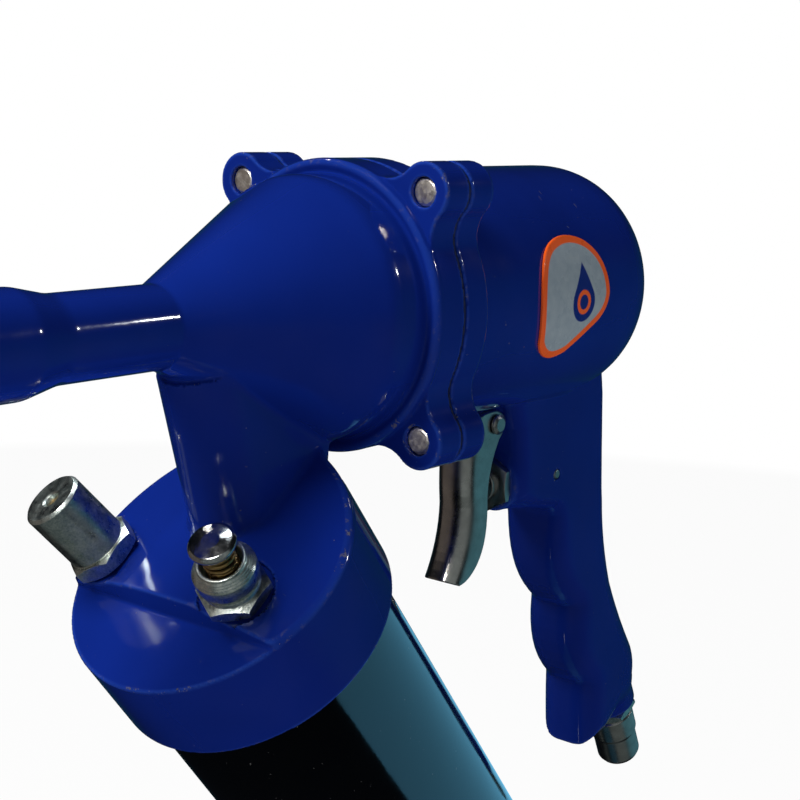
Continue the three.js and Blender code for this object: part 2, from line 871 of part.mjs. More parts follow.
const ball = (radius, centre, frame) => {
  const sphere = new THREE.SphereGeometry(radius, 12, 8);
  sphere.translate(0, centre, 0);
  if (frame) sphere.applyMatrix4(frame);
  return solidOf(sphere);
};

const bleederBody = () =>
  cut(
    joined(
      rod(2.9, -6.5, -1, 12, BLEEDER_FRAME),
      hexagon(13.3, GAP - 1.5, 2.2, BLEEDER_FRAME),
      turned(
        [
          [2.1, 0],
          [2.1, 5.6],
          [3.2, 4.9],
          [4.2, 6.3],
          [6.4, 6.5],
          [8, 6.5],
          [9, 6],
          [9.8, 5.1],
          [9.8, 0],
        ],
        28,
        BLEEDER_FRAME,
      ),
    ),
    rod(4.2, 3.6, 11, 16, BLEEDER_FRAME),
    rod(1.8, -7, 5, 12, BLEEDER_FRAME),
  );

const bleederButton = () =>
  turned(
    [
      [-5.5, 0],
      [-5.5, 1.4],
      [14.1, 1.4],
      [14.1, 3.6],
      [14.7, 4.8],
      [15.5, 4.8],
      [16.1, 3.7],
      [16.3, 0],
    ],
    16,
    BLEEDER_FRAME,
  );

// ---- Trigger and air valve ----------------------------------------------------------------------

// The trigger is a curved channel of bent sheet, open to the rear, whose sides straddle the lug.
function trigger() {
  const outside = sideSlab(
    [
      [47.3, -38],
      [47.3, -45],
      [47.7, -52],
      [47.2, -58],
      [45.9, -63.6],
      [42.6, -70.3],
      [45.8, -71.6],
      [50, -69.4],
      [53, -65.8],
      [54.8, -61],
      [55.3, -56],
      [54.9, -48],
      [55.6, -42],
      [58.4, -37.2],
      [60.4, -35.4],
      [61.2, -32.8],
      [60, -30.6],
      [57.4, -29.8],
      [51.6, -30.6],
      [48.6, -33],
    ],
    TRIGGER_HALF_WIDTH,
    0.9,
    2,
  );
  const inside = sideSlab(
    [
      [46.9, -28],
      [48.7, -38],
      [48.7, -45],
      [49, -52],
      [48.5, -58.4],
      [47.2, -64],
      [43.8, -72],
      [58, -76],
      [66, -60],
      [66, -28],
    ],
    TRIGGER_HALF_WIDTH - TRIGGER_SHEET,
  );
  const [pivotY, pivotZ] = TRIGGER_PIVOT;
  return cut(outside, inside, rod(1.85, -8, 8, 12, crossFrame(pivotY, pivotZ)));
}

function triggerPin() {
  const [pivotY, pivotZ] = TRIGGER_PIVOT;
  const end = TRIGGER_HALF_WIDTH + GAP;
  return turned(
    [
      [-end - 1.2, 0],
      [-end - 1.2, 2],
      [-end - 0.8, 2.5],
      [-end, 2.5],
      [-end, 1.5],
      [end, 1.5],
      [end, 2.5],
      [end + 0.8, 2.5],
      [end + 1.2, 2],
      [end + 1.2, 0],
    ],
    16,
    crossFrame(pivotY, pivotZ),
  );
}

const valveGland = () =>
  cut(
    joined(
      turned(
        [
          [58.6, 0],
          [58.6, 3.6],
          [59.2, 4.3],
          [60.3, 4.3],
          [60.3, 0],
        ],
        20,
        VALVE_FRAME,
      ),
      hexagon(13, 60.2, BOSS_FRONT - GAP, VALVE_FRAME),
      rod(5.5, BOSS_FRONT - GAP - 0.1, 69, 16, VALVE_FRAME),
    ),
    rod(1.9, 57, 70, 16, VALVE_FRAME),
  );

const VALVE_SEAT = 73;
const valveStem = () =>
  turned(
    [
      [49.3, 0],
      [49.3, 1.2],
      [49.8, 1.6],
      [VALVE_SEAT + GAP, 1.6],
      [VALVE_SEAT + GAP, 3.4],
      [VALVE_SEAT + 2.2, 3.9],
      [VALVE_SEAT + 3, 3.9],
      [VALVE_SEAT + 3, 1.6],
      [VALVE_SEAT + 6, 1.6],
      [VALVE_SEAT + 6, 0],
    ],
    16,
    VALVE_FRAME,
  );

const valveSeat = () => tube(5.5, 2.2, 70.6, VALVE_SEAT, 16, VALVE_FRAME);
const valveORing = () => tube(5.3, 2, 69.2, 70.3, 16, VALVE_FRAME);
const retainingPin = () => rod(1.3, 6.2, GRIP_HALF_WIDTH + 0.1, 12, crossFrame(...RETAINING_PIN));

// ---- Air inlet ----------------------------------------------------------------------------------
const inletNipple = () =>
  cut(
    joined(
      rod(5.3, -12, 1.6, 18, INLET_FRAME),
      hexagon(14, 1.5, 4.2, INLET_FRAME),
      rod(4.2, 4.1, 13, 18, INLET_FRAME),
      tube(5.2, 3, 12.9, 14.6, 18, INLET_FRAME),
    ),
    rod(2.6, -13, 16, 12, INLET_FRAME),
  );

const inletSwivel = () =>
  turnedRing(
    [
      [4.7, 4.5],
      [4.7, 6],
      [5.4, 6.8],
      [12, 6.8],
      [13, 6.2],
      [21, 6.2],
      [22, 5.6],
      [22, 4.2],
      [15, 4.2],
      [15, 5.5],
      [12.7, 5.5],
      [12.7, 4.5],
    ],
    18,
    INLET_FRAME,
  );

// ---- Badge --------------------------------------------------------------------------------------

// A thin curved plate on the side of the cylinder, with a rounded three-sided outline.
function badgePlate() {
  const outline = new THREE.Shape();
  outline.moveTo(46.5, 13.6);
  outline.quadraticCurveTo(52.8, 15.8, 59, 13.5);
  outline.quadraticCurveTo(66.4, 10.4, 67.2, 1);
  outline.quadraticCurveTo(66.6, -4, 61.2, -6.7);
  outline.lineTo(52.6, -12);
  outline.quadraticCurveTo(44.6, -15, 40.4, -9.2);
  outline.quadraticCurveTo(37.6, 0, 39.8, 6.6);
  outline.quadraticCurveTo(41.6, 12, 46.5, 13.6);
  const geometry = new THREE.ExtrudeGeometry(outline, {
    depth: 20,
    bevelEnabled: false,
    curveSegments: 5,
  });
  geometry.translate(0, 0, 20);
  const basis = new THREE.Matrix4().makeBasis(
    new THREE.Vector3(0, 1, 0),
    new THREE.Vector3(0, 0, 1),
    new THREE.Vector3(1, 0, 0),
  );
  const shell = tube(CYLINDER_RADIUS + 0.7, CYLINDER_RADIUS + 0.1, 30, 80, 56);
  return solidOf(geometry.applyMatrix4(basis)).intersect(shell);
}

// ---- Assembly -----------------------------------------------------------------------------------
const gun = new THREE.Group();

function addTo(group, name, solid, look) {
  const mesh = new THREE.Mesh(geometryOf(solid), new THREE.MeshStandardMaterial(look));
  mesh.name = name;
  group.add(mesh);
  return mesh;
}

const add = (name, solid, look) => addTo(gun, name, solid, look);

add("pump_head", pumpHead(), BLUE_PAINT);
add("grip_housing", gripHousing(), BLUE_PAINT);
add("flange_gasket", flangeGasket(), GASKET_FIBRE).position.y = FRONT_PLATE + 0.15;
screwPlaces.forEach(([x, z], i) => {
  add(`flange_screw_${i + 1}`, flangeScrew(), ZINC).position.set(x, 0, z);
});
add("badge_plate", badgePlate(), BADGE_FACE);

add("packing_gland_nut", packingGland(), BRASS);
add("plunger_packing", tube(6.9, PLUNGER_RADIUS + GAP, -33.7, -30.5, 18), RUBBER);
add("air_piston", airPiston(), ALLOY);
add("piston_seal", pistonSeal(), RUBBER);
add("pump_plunger", pumpPlunger(), STEEL);
add("piston_nut", pistonNut(), ZINC);
add("return_spring", coil(13, 1.1, -25, PISTON_FRONT - GAP, 8, 10), SPRING_STEEL);
add("outlet_check_ball", ball(3, -81.35), STEEL);
add("outlet_check_spring", coil(3.2, 0.5, -88.8, -83.4, 2.5, 10), SPRING_STEEL);
add("outlet_spring_seat", outletSpringSeat(), STEEL);
add("outlet_nut", outletNut(), ZINC);
add("outlet_pipe", outletPipe(), ZINC);
add("coupler_body", couplerBody(), ZINC);
add("coupler_sleeve", couplerSleeve(), STEEL);
add("coupler_jaws", couplerJaws(), STEEL);

add("barrel_tube", barrelTube(), BLACK_PAINT);
add("barrel_gasket", barrelGasket(), RUBBER);
add("barrel_end_cap", barrelEndCap(), BLACK_PAINT);
add("follower_plate", followerPlate(), STEEL);
add("follower_seal", followerSeal(), RUBBER);
add("follower_nut", followerNut(), ZINC);
add("follower_rod", followerRod(), ZINC);
add("rod_handle", rodHandle(), BLACK_PAINT);
const followerSpringEnd = FOLLOWER_TOP - 8 - GAP;
add(
  "follower_spring",
  coil(22.6, 1.2, BARREL_BOTTOM + GAP, followerSpringEnd, 10, 10, BARREL_FRAME),
  SPRING_STEEL,
);

add("filler_body", fillerBody(), ZINC);
add("filler_check_ball", ball(1.75, 15.7, FILLER_FRAME), BRASS);
add("filler_spring", coil(1.3, 0.3, 7, 13.6, 4, 8, FILLER_FRAME), SPRING_STEEL);
add("bleeder_body", bleederBody(), ZINC);
add("bleeder_button", bleederButton(), CHROME);
add("bleeder_spring", coil(3, 0.45, 4, 13.5, 4.5, 10, BLEEDER_FRAME), BRASS);

add("trigger", trigger(), CHROME);
add("trigger_pin", triggerPin(), CHROME);
add("valve_gland", valveGland(), CHROME);
add("valve_stem", valveStem(), STEEL);
add("valve_o_ring", valveORing(), RUBBER);
add("valve_seat", valveSeat(), BRASS);
add("valve_spring", coil(3.2, 0.45, VALVE_SEAT + 3.3, 91, 6, 8, VALVE_FRAME), SPRING_STEEL);
add("retaining_pin", retainingPin(), STEEL);
add("inlet_nipple", inletNipple(), ZINC);
add("inlet_swivel", inletSwivel(), CHROME);

// The part's frame has its origin at the centre of the gun's bounding box.
const part = new THREE.Group();
part.add(gun);
gun.position.copy(new THREE.Box3().setFromObject(gun).getCenter(new THREE.Vector3()).negate());

export default part;
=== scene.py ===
"""Looks for a pistol-grip pneumatic grease gun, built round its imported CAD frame.

Shapes are worked out in millimetres in the row frame and turned into metres when a mesh is made.
The two castings, the trigger and the pull handle are implicit solids with rounded joins, meshed on a
grid; every other piece is turned, swept or extruded. The pieces stand for CAD nodes of the same name.
"""

import json
import math

import bmesh
import bpy
import numpy as np
from mathutils import Matrix, Vector

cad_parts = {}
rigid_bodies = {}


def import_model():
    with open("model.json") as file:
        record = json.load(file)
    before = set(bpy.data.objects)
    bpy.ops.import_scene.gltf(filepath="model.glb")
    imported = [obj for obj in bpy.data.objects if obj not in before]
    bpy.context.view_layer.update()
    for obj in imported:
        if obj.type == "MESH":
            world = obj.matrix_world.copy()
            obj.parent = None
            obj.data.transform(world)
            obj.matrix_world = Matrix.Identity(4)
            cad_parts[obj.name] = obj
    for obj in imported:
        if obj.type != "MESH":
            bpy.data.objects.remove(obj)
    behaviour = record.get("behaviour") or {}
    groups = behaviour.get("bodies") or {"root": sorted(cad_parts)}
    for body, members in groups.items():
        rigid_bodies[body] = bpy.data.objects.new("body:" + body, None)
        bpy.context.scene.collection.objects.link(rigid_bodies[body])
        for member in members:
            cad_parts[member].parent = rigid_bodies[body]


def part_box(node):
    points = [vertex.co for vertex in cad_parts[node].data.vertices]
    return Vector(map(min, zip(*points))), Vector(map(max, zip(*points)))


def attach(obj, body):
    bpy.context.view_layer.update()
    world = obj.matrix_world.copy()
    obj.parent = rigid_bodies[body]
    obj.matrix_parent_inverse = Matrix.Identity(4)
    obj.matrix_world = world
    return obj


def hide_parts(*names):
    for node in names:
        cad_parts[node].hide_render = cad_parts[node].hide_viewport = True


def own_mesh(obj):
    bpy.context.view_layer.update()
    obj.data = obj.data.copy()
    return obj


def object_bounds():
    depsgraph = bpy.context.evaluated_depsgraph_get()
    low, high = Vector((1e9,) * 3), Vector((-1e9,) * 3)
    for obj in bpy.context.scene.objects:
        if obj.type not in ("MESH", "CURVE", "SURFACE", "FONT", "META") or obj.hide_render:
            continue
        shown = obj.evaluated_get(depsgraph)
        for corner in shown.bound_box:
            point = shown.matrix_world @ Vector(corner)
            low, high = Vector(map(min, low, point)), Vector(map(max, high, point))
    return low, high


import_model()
cad_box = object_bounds()
MM = 0.001

# ---- Driving dimensions, millimetres ------------------------------------------------------------
SCREW_OFFSET = 25.6
FLANGE_RADIUS = 31.5
EAR_RADIUS = 6.2
EAR_FILLET = 8.0
FRONT_PLATE = 7.5
REAR_PLATE = (8.4, 16.2)
SCREW_RADIUS = 2.9
SCREW_HEAD_RADIUS = 4.7

NOSE_RADIUS = 8.3
COLLAR_RADIUS = 10.1
NOSE_TIP = -100.0
DRUM_RADIUS = 28.3
BEAD_RADIUS = 30.1
CAVITY_RADIUS = 24.4
CAVITY_FRONT = -26.0

CYLINDER_RADIUS = 29.2
CYLINDER_BORE = 25.4
DOME_START = 78.0
DOME_DEPTH = 21.0
BORE_END = 88.0

PUMP_BORE = 4.3
PLUNGER_RADIUS = 4.0
PLUNGER_TIP = -34.5
PISTON_FRONT = 74.0
CHECK_SEAT = -77.0

BARREL_TILT = math.radians(37.58)
CAP_CENTRE = np.array([-0.4, -35.27, -47.7])
CAP_RADIUS = 31.7
CAP_HEIGHT = 23.5
CAP_CROWN = 2.2
CAP_STEP = 2.6
CAP_STEP_AT = 14.1
CAP_STEP_LEAN = 0.27
CAP_FACETS = [[10.5, 0.205], [-9.6, 0.138]]
BEAD_THICKNESS = 1.4
BARREL_RADIUS = 28.5
BARREL_BORE = 27.3
BARREL_TOP = -7.5
BARREL_BOTTOM = -236.0
FOLLOWER_TOP = -12.0
ROD_BOTTOM = BARREL_BOTTOM - 12

NECK_RADIUS = 9.8
NECK_LEAN = math.radians(15.6)
NECK_POINT = np.array([0, -29.65, -30.0])

TRIGGER_PIVOT = (57.0, -33.0)
TRIGGER_HALF_WIDTH = 5.8
TRIGGER_SHEET = 1.2
VALVE_Z = -49.5
BOSS_FRONT = 63.5
GRIP_HALF_WIDTH = 9.6

INLET_POINT = np.array([0, 126.0, -125.0])
INLET_AXIS = np.array([0, 0.43, -0.903])

# The gun's own frame, in millimetres: the air cylinder's axis is Y, and y = 0 is the flange's front face.
gasket_low, gasket_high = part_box("flange_gasket")
GUN_ORIGIN = (Vector(gasket_low) + Vector(gasket_high)) / 2
GUN_ORIGIN.y = gasket_low[1] - (FRONT_PLATE + 0.15) * MM


def metres(points):
    """Row-frame metres from points in the gun's own frame."""
    return np.asarray(points, float) * MM + np.array(GUN_ORIGIN)


# ---- Frames -------------------------------------------------------------------------------------
class Place:
    """A frame in the gun's own frame: a turned piece's axis is its local Y."""

    def __init__(self, origin=(0, 0, 0), direction=(0, 1, 0)):
        self.origin = np.array(origin, float)
        y = np.array(direction, float)
        self.y = y / np.linalg.norm(y)
        x = np.array([1.0, 0, 0]) if abs(self.y[0]) < 0.9 else np.array([0, 1.0, 0])
        x = x - x @ self.y * self.y
        self.x = x / np.linalg.norm(x)
        self.z = np.cross(self.x, self.y)

    def world(self, points):
        basis = np.array([self.x, self.y, self.z])
        return self.origin + np.asarray(points, float) @ basis

    def local(self, x, y, z):
        """Local coordinates of the points with these coordinates, which may be broadcast."""
        dx, dy, dz = x - self.origin[0], y - self.origin[1], z - self.origin[2]
        return [axis[0] * dx + axis[1] * dy + axis[2] * dz for axis in (self.x, self.y, self.z)]


BODY = Place()
BARREL = Place(CAP_CENTRE, (0, -math.sin(BARREL_TILT), math.cos(BARREL_TILT)))
NECK = Place(NECK_POINT, (0, -math.sin(NECK_LEAN), math.cos(NECK_LEAN)))
INLET = Place(INLET_POINT, INLET_AXIS)
VALVE = Place((0, 0, VALVE_Z))


def fitting_place(base, side_slope, forward_slope):
    """A fitting's place on the cap: its base centre, and the sideways and forward lean of its axis."""
    direction = BARREL.y + side_slope * BARREL.x + forward_slope * BARREL.z
    return Place(BARREL.world(base), direction)


FILLER = fitting_place([-23.2, 0, 6.4], -0.2, 0.06)
BLEEDER = fitting_place([15.1, 1.8, 6.7], 0.2, 0)


def across(y, z):
    """A frame whose axis runs along world X through a point of the YZ plane."""
    return Place((0, y, z), (1, 0, 0))


RETAINING_PIN = across(79.5, -48.7)


# ---- Implicit shapes: negative inside, in millimetres --------------------------------------------
def join(a, b, r=0.0):
    """Both shapes, with a concave fillet of radius r where they meet."""
    if r <= 0:
        return np.minimum(a, b)
    return np.maximum(r, np.minimum(a, b)) - np.hypot(np.maximum(r - a, 0), np.maximum(r - b, 0))


def both(a, b, r=0.0):
    """What two shapes share, with its new edge rounded to radius r, which may vary over space."""
    if np.isscalar(r) and r <= 0:
        return np.maximum(a, b)
    return np.minimum(-r, np.maximum(a, b)) + np.hypot(np.maximum(r + a, 0), np.maximum(r + b, 0))


def without(a, b, r=0.0):
    return both(a, -b, r)


def slab(value, low, high):
    return np.abs(value - (low + high) / 2) - (high - low) / 2


def polygon(u, v, points):
    """Signed distance to a closed outline in a plane."""
    points = np.asarray(points, np.float32)
    u, v = np.broadcast_arrays(u, v)
    u, v = u.astype(np.float32), v.astype(np.float32)
    nearest = np.full(u.shape, 1e9, np.float32)
    inside = np.zeros(u.shape, bool)
    for a, b in zip(points, np.roll(points, -1, 0)):
        edge = b - a
        du, dv = u - a[0], v - a[1]
        t = np.clip((du * edge[0] + dv * edge[1]) / max(float(edge @ edge), 1e-12), 0, 1)
        nearest = np.minimum(nearest, (du - t * edge[0]) ** 2 + (dv - t * edge[1]) ** 2)
        if a[1] != b[1]:
            crosses = (v >= min(a[1], b[1])) & (v < max(a[1], b[1]))
            inside ^= crosses & (du < (v - a[1]) / edge[1] * edge[0])
    return np.where(inside, -1, 1) * np.sqrt(nearest)


def turned_field(place, profile, x, y, z):
    """A solid of revolution about a place's axis, from a profile of [height, radius] points."""
    lx, ly, lz = place.local(x, y, z)
    radius = np.sqrt(lx**2 + lz**2)
    mirrored = [[h, -r] for h, r in profile[::-1] if r > 0]
    return polygon(ly, radius, [list(p) for p in profile] + mirrored)


def rod_field(place, radius, low, high, x, y, z, round_edge=0.0):
    lx, ly, lz = place.local(x, y, z)
    return both(np.sqrt(lx**2 + lz**2) - radius, slab(ly, low, high), round_edge)


# ---- Meshing an implicit shape ------------------------------------------------------------------
def band(a, b, count):
    """Quads between two rings of vertices that start at indices a and b."""
    return [(a + i, a + (i + 1) % count, b + (i + 1) % count, b + i) for i in range(count)]


def headings(path):
    ahead = np.gradient(path, axis=0)
    return ahead / np.linalg.norm(ahead, axis=1)[:, None]


def surface_net(field, low, high, step):
    """Vertices, quads and normals of a field's zero surface on a grid, vertices moved onto the surface."""
    axes = [np.arange(a, b + step, step, dtype=np.float32) for a, b in zip(low, high)]
    gx, gy, gz = axes[0][:, None, None], axes[1][None, :, None], axes[2][None, None, :]
    values = np.broadcast_to(field(gx, gy, gz), [len(a) for a in axes]).astype(np.float32)
    inside = values < 0
    cells = [slice(0, -1), slice(1, None)]
    count = np.zeros([n - 1 for n in inside.shape], np.int8)
    for i in cells:
        for j in cells:
            for k in cells:
                count += inside[i, j, k]
    index = np.full(count.shape, -1, np.int64)
    crossed = (count > 0) & (count < 8)
    index[crossed] = np.arange(crossed.sum())
    ci = np.argwhere(crossed)
    points = np.stack([axes[a][ci[:, a]] for a in range(3)], 1) + step / 2
    quads = []
    for axis in range(3):
        ahead = [slice(None)] * 3
        behind = [slice(None)] * 3
        ahead[axis], behind[axis] = slice(1, None), slice(0, -1)
        change = inside[tuple(ahead)] != inside[tuple(behind)]
        at = np.argwhere(change)
        b, c = (axis + 1) % 3, (axis + 2) % 3
        at = at[(at[:, b] > 0) & (at[:, c] > 0)]
        at = at[(at[:, b] < index.shape[b]) & (at[:, c] < index.shape[c])]
        corners = []
        for db, dc in ((1, 1), (0, 1), (0, 0), (1, 0)):
            cell = at.copy()
            cell[:, b] -= db
            cell[:, c] -= dc
            corners.append(index[cell[:, 0], cell[:, 1], cell[:, 2]])
        quad = np.stack(corners, 1)
        flip = ~inside[at[:, 0], at[:, 1], at[:, 2]]
        quad[flip] = quad[flip][:, ::-1]
        quads.append(quad)
    quads = np.concatenate(quads)
    normals = gradient(field, points)
    for _ in range(4):
        distance = field(*points.T)
        move = np.clip(distance, -step, step)[:, None] * normals
        points = points - move.astype(np.float32)
        normals = gradient(field, points)
    return points, quads, normals


def gradient(field, points, h=0.08):
    x, y, z = points.astype(np.float64).T
    g = np.stack(
        [
            field(x + h, y, z) - field(x - h, y, z),
            field(x, y + h, z) - field(x, y - h, z),
            field(x, y, z + h) - field(x, y, z - h),
        ],
        1,
    )
    return g / np.maximum(np.linalg.norm(g, axis=1), 1e-9)[:, None]


def edge_attribute(field, points, normals, reach=1.3):
    """How convex (above 0) or hollow (below 0) the surface is round each point."""
    helper = np.where(np.abs(normals[:, :1]) < 0.8, [[1.0, 0, 0]], [[0, 1.0, 0]])
    side = np.cross(normals, helper)
    side /= np.linalg.norm(side, axis=1)[:, None]
    other = np.cross(normals, side)
    total = 0
    for a in (side, -side, other, -other):
        total = total + field(*(points + reach * a).T)
    return total / 4 / reach


def implicit_mesh(name, field, low, high, step, bare=None):
    """A mesh of an implicit shape, with attributes for edge wear and painted edge highlights, and for
    unpainted inner faces.
    """
    points, quads, normals = surface_net(field, low, high, step)
    mesh = bpy.data.meshes.new(name)
    mesh.from_pydata(metres(points).tolist(), [], quads.tolist())
    mesh.shade_smooth()
    mesh.normals_split_custom_set_from_vertices(normals.astype(np.float32))
    edge = mesh.attributes.new("edge", "FLOAT", "POINT")
    edge.data.foreach_set("value", edge_attribute(field, points, normals).astype(np.float32))
    inner = mesh.attributes.new("bare", "FLOAT", "POINT")
    shade = bare(*points.T) if bare else np.zeros(len(points))
    inner.data.foreach_set("value", np.asarray(shade, np.float32))
    return mesh


# ---- Turned, swept and coiled meshes --------------------------------------------------------------
def filleted(corners, steps=4):
    """An open outline from corners [u, v] or [u, v, radius], each radius an arc that rounds its corner."""
    result = []
    for i, corner in enumerate(corners):
        p = np.array(corner[:2], float)
        radius = corner[2] if len(corner) > 2 else 0
        if radius <= 0 or i in (0, len(corners) - 1):
            result.append(p)
            continue
        a = np.array(corners[i - 1][:2], float) - p
        b = np.array(corners[i + 1][:2], float) - p
        la, lb = np.linalg.norm(a), np.linalg.norm(b)
        a, b = a / la, b / lb
        half = math.acos(np.clip(a @ b, -1, 1)) / 2
        reach = min(radius / math.tan(half), la * 0.49, lb * 0.49)
        radius = reach * math.tan(half)
        middle = a + b
        centre = p + middle / np.linalg.norm(middle) * radius / math.sin(half)
        start, end = p + a * reach - centre, p + b * reach - centre
        turn = math.atan2(start[0] * end[1] - start[1] * end[0], start @ end)
        for k in range(steps + 1):
            c, s = math.cos(turn * k / steps), math.sin(turn * k / steps)
            result.append(centre + [c * start[0] - s * start[1], s * start[0] + c * start[1]])
    return [list(q) for q in result]


def hexagon_radius(flats, angle):
    return flats / 2 / np.cos(np.mod(angle, math.pi / 3) - math.pi / 6)


def hexagon_band(low, high, flats, chamfer=0.35, sides=(True, True)):
    """Profile entries for a hexagon with the curved chamfers that a lathe leaves on its corners."""
    rim = flats / 2 - chamfer

    def edge(height, inward):
        def ring(angle):
            radius = hexagon_radius(flats, angle)
            return height + inward * (radius - rim) * 0.55, radius

        return ring

    start = [(low, rim), edge(low, 1)] if sides[0] else [edge(low, 0)]
    end = [edge(high, -1), (high, rim)] if sides[1] else [edge(high, 0)]
    return start + end


def turned_mesh(name, place, profile, segments=96, wave=None):
    """A mesh turned about a place's axis. A profile entry is [height, radius] or a function of the angle,
    and a profile that doesn't start on the axis closes on itself."""
    angles = np.arange(segments) * 2 * math.pi / segments
    rings = []
    for entry in profile:
        height, radius = entry(angles) if callable(entry) else entry[:2]
        height = np.broadcast_to(height, angles.shape)
        radius = np.broadcast_to(radius, angles.shape)
        if wave:
            radius = wave(height, radius, angles)
        rings.append(np.stack([radius * np.sin(angles), height, radius * np.cos(angles)], 1))
    vertices, faces, starts = [], [], []
    for ring in rings:
        starts.append((len(vertices), len(ring) if np.abs(ring[:, [0, 2]]).max() > 1e-6 else 1))
        vertices.extend(ring if starts[-1][1] > 1 else ring[:1])
    pairs = list(zip(starts, starts[1:]))
    if starts[0][1] > 1:
        pairs.append((starts[-1], starts[0]))
    for (a, na), (b, nb) in pairs:
        for face in band(a, b, segments):
            if na > 1 and nb > 1:
                faces.append(face)
            elif na > 1:
                faces.append((*face[:2], b))
            elif nb > 1:
                faces.append((a, *face[2:]))
    return finished_mesh(name, place.world(vertices), faces)


def finished_mesh(name, points, faces, angle=32):
    """A mesh from millimetre points, faces turned outwards, smooth except across sharp edges."""
    mesh = bpy.data.meshes.new(name)
    mesh.from_pydata(metres(points).tolist(), [], faces)
    build = bmesh.new()
    build.from_mesh(mesh)
    bmesh.ops.recalc_face_normals(build, faces=build.faces)
    build.to_mesh(mesh)
    build.free()
    mesh.shade_smooth()
    mesh.set_sharp_from_angle(angle=math.radians(angle))
    return mesh


def swept_mesh(name, path, outline, place, angle):
    """A closed outline of [side, side] offsets carried along a path of points, with flat ends."""
    ahead = headings(path)
    side = np.cross(ahead[0], [0, 0, 1.0] if abs(ahead[0][2]) < 0.9 else [1.0, 0, 0])
    points, count = [], len(outline)
    for p, direction in zip(path, ahead):
        side = side - side @ direction * direction
        side /= np.linalg.norm(side)
        other = np.cross(direction, side)
        points.extend(p + u * side + v * other for u, v in outline)
    faces = []
    for ring in range(len(path) - 1):
        faces += band(ring * count, (ring + 1) * count, count)
    faces.append(tuple(range(count))[::-1])
    faces.append(tuple(range((len(path) - 1) * count, len(path) * count)))
    return finished_mesh(name, place.world(points), faces, angle)


def circle(radius, count):
    turns = np.arange(count) * 2 * math.pi / count
    return [(radius * math.cos(t), radius * math.sin(t)) for t in turns]


def coil_mesh(name, place, radius, wire, low, high, turns, sides=10, steps_per_turn=24):
    """A round-wire compression spring whose end coils lie flat."""
    total = turns + 2
    t = np.linspace(0, total, int(total * steps_per_turn) + 1)
    share = np.clip((t - 0.75) / (total - 1.5), 0, 1)
    flat = 2 * wire * np.minimum(t, total - t).clip(0, 0.75) / 0.75 * 0.5
    height = low + wire + (high - low - 2 * wire) * share
    height += np.where(t < total / 2, flat, -flat)
    height = np.clip(height, low + wire, high - wire)
    angle = 2 * math.pi * t
    path = np.stack([radius * np.cos(angle), height, radius * np.sin(angle)], 1)
    return swept_mesh(name, path, circle(wire, sides), place, 60)


# ---- Pieces -------------------------------------------------------------------------------------
def piece(node, mesh, slot, body="gun_body", material=None):
    """A finished mesh that stands for the CAD node of this name, in its slot's usual material."""
    obj = bpy.data.objects.new(node + "_look", mesh)
    bpy.context.scene.collection.objects.link(obj)
    mesh.materials.clear()
    mesh.materials.append(material or LOOKS[slot])
    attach(obj, body)
    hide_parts(node)
    return obj


# ---- Castings -----------------------------------------------------------------------------------
def flange_outline(x, z, shrink=0.0):
    """Distance to the flange's outline: a disc and four ears, joined by concave arcs."""
    disc, ear, fillet = FLANGE_RADIUS - shrink, EAR_RADIUS - shrink, EAR_FILLET + shrink
    ear_distance = SCREW_OFFSET * math.sqrt(2)
    to_disc, to_ear = disc + fillet, ear + fillet
    cosine = (to_disc**2 + ear_distance**2 - to_ear**2) / (2 * to_disc * ear_distance)
    spread = math.acos(cosine)
    cx, cz = to_disc * math.cos(math.pi / 4 - spread), to_disc * math.sin(math.pi / 4 - spread)
    u = np.maximum(np.abs(x), np.abs(z))
    v = np.minimum(np.abs(x), np.abs(z))
    hollow = (cx * v - cz * u > 0) & (
        (SCREW_OFFSET - cx) * (v - cz) - (SCREW_OFFSET - cz) * (u - cx) > 0
    )
    round_parts = np.minimum(
        np.hypot(u, v) - disc, np.hypot(u - SCREW_OFFSET, v - SCREW_OFFSET) - ear
    )
    return np.where(hollow, fillet - np.hypot(u - cx, v - cz), round_parts)


HEAD_PROFILE = filleted([
    [NOSE_TIP, 0], [NOSE_TIP, COLLAR_RADIUS, 1.2], [-82.2, COLLAR_RADIUS, 9],
    [-74.2, NOSE_RADIUS, 12], [-48.9, NOSE_RADIUS, 2.2], [-10.2, DRUM_RADIUS, 9],
    [1.0, DRUM_RADIUS], [1.0, 0],
], 6)
WEB = [(-35.8, -8), (-24.4, -48.6), (-9.5, -30.5), (-8, -20), (-16, -8)]


def cap_field(x, y, z):
    lx, n, forward = BARREL.local(x, y, z)
    high = n - CAP_CROWN
    for (start, slope), scale in zip(CAP_FACETS, (0.98, 0.99)):
        outward = lx - start if start > 0 else start - lx
        high = both(high, (high + slope * outward) * scale, 0.4)
    wall = (forward - CAP_STEP_AT + CAP_STEP_LEAN * (n + CAP_STEP)) * 0.965
    high = both(high, wall, 0.35)
    side = both(np.sqrt(lx**2 + forward**2) - CAP_RADIUS, -(n + CAP_HEIGHT), 0.7)
    raised = both(side, high, 1.3)
    return join(raised, both(side, n + CAP_STEP, 0.55), 0.45)


def ear_holes(x, y, z, radius, low, high):
    """Four round holes through the ears, from low to high along Y."""
    across_hole = np.hypot(np.abs(x) - SCREW_OFFSET, np.abs(z) - SCREW_OFFSET) - radius
    return np.maximum(across_hole, slab(y, low, high))


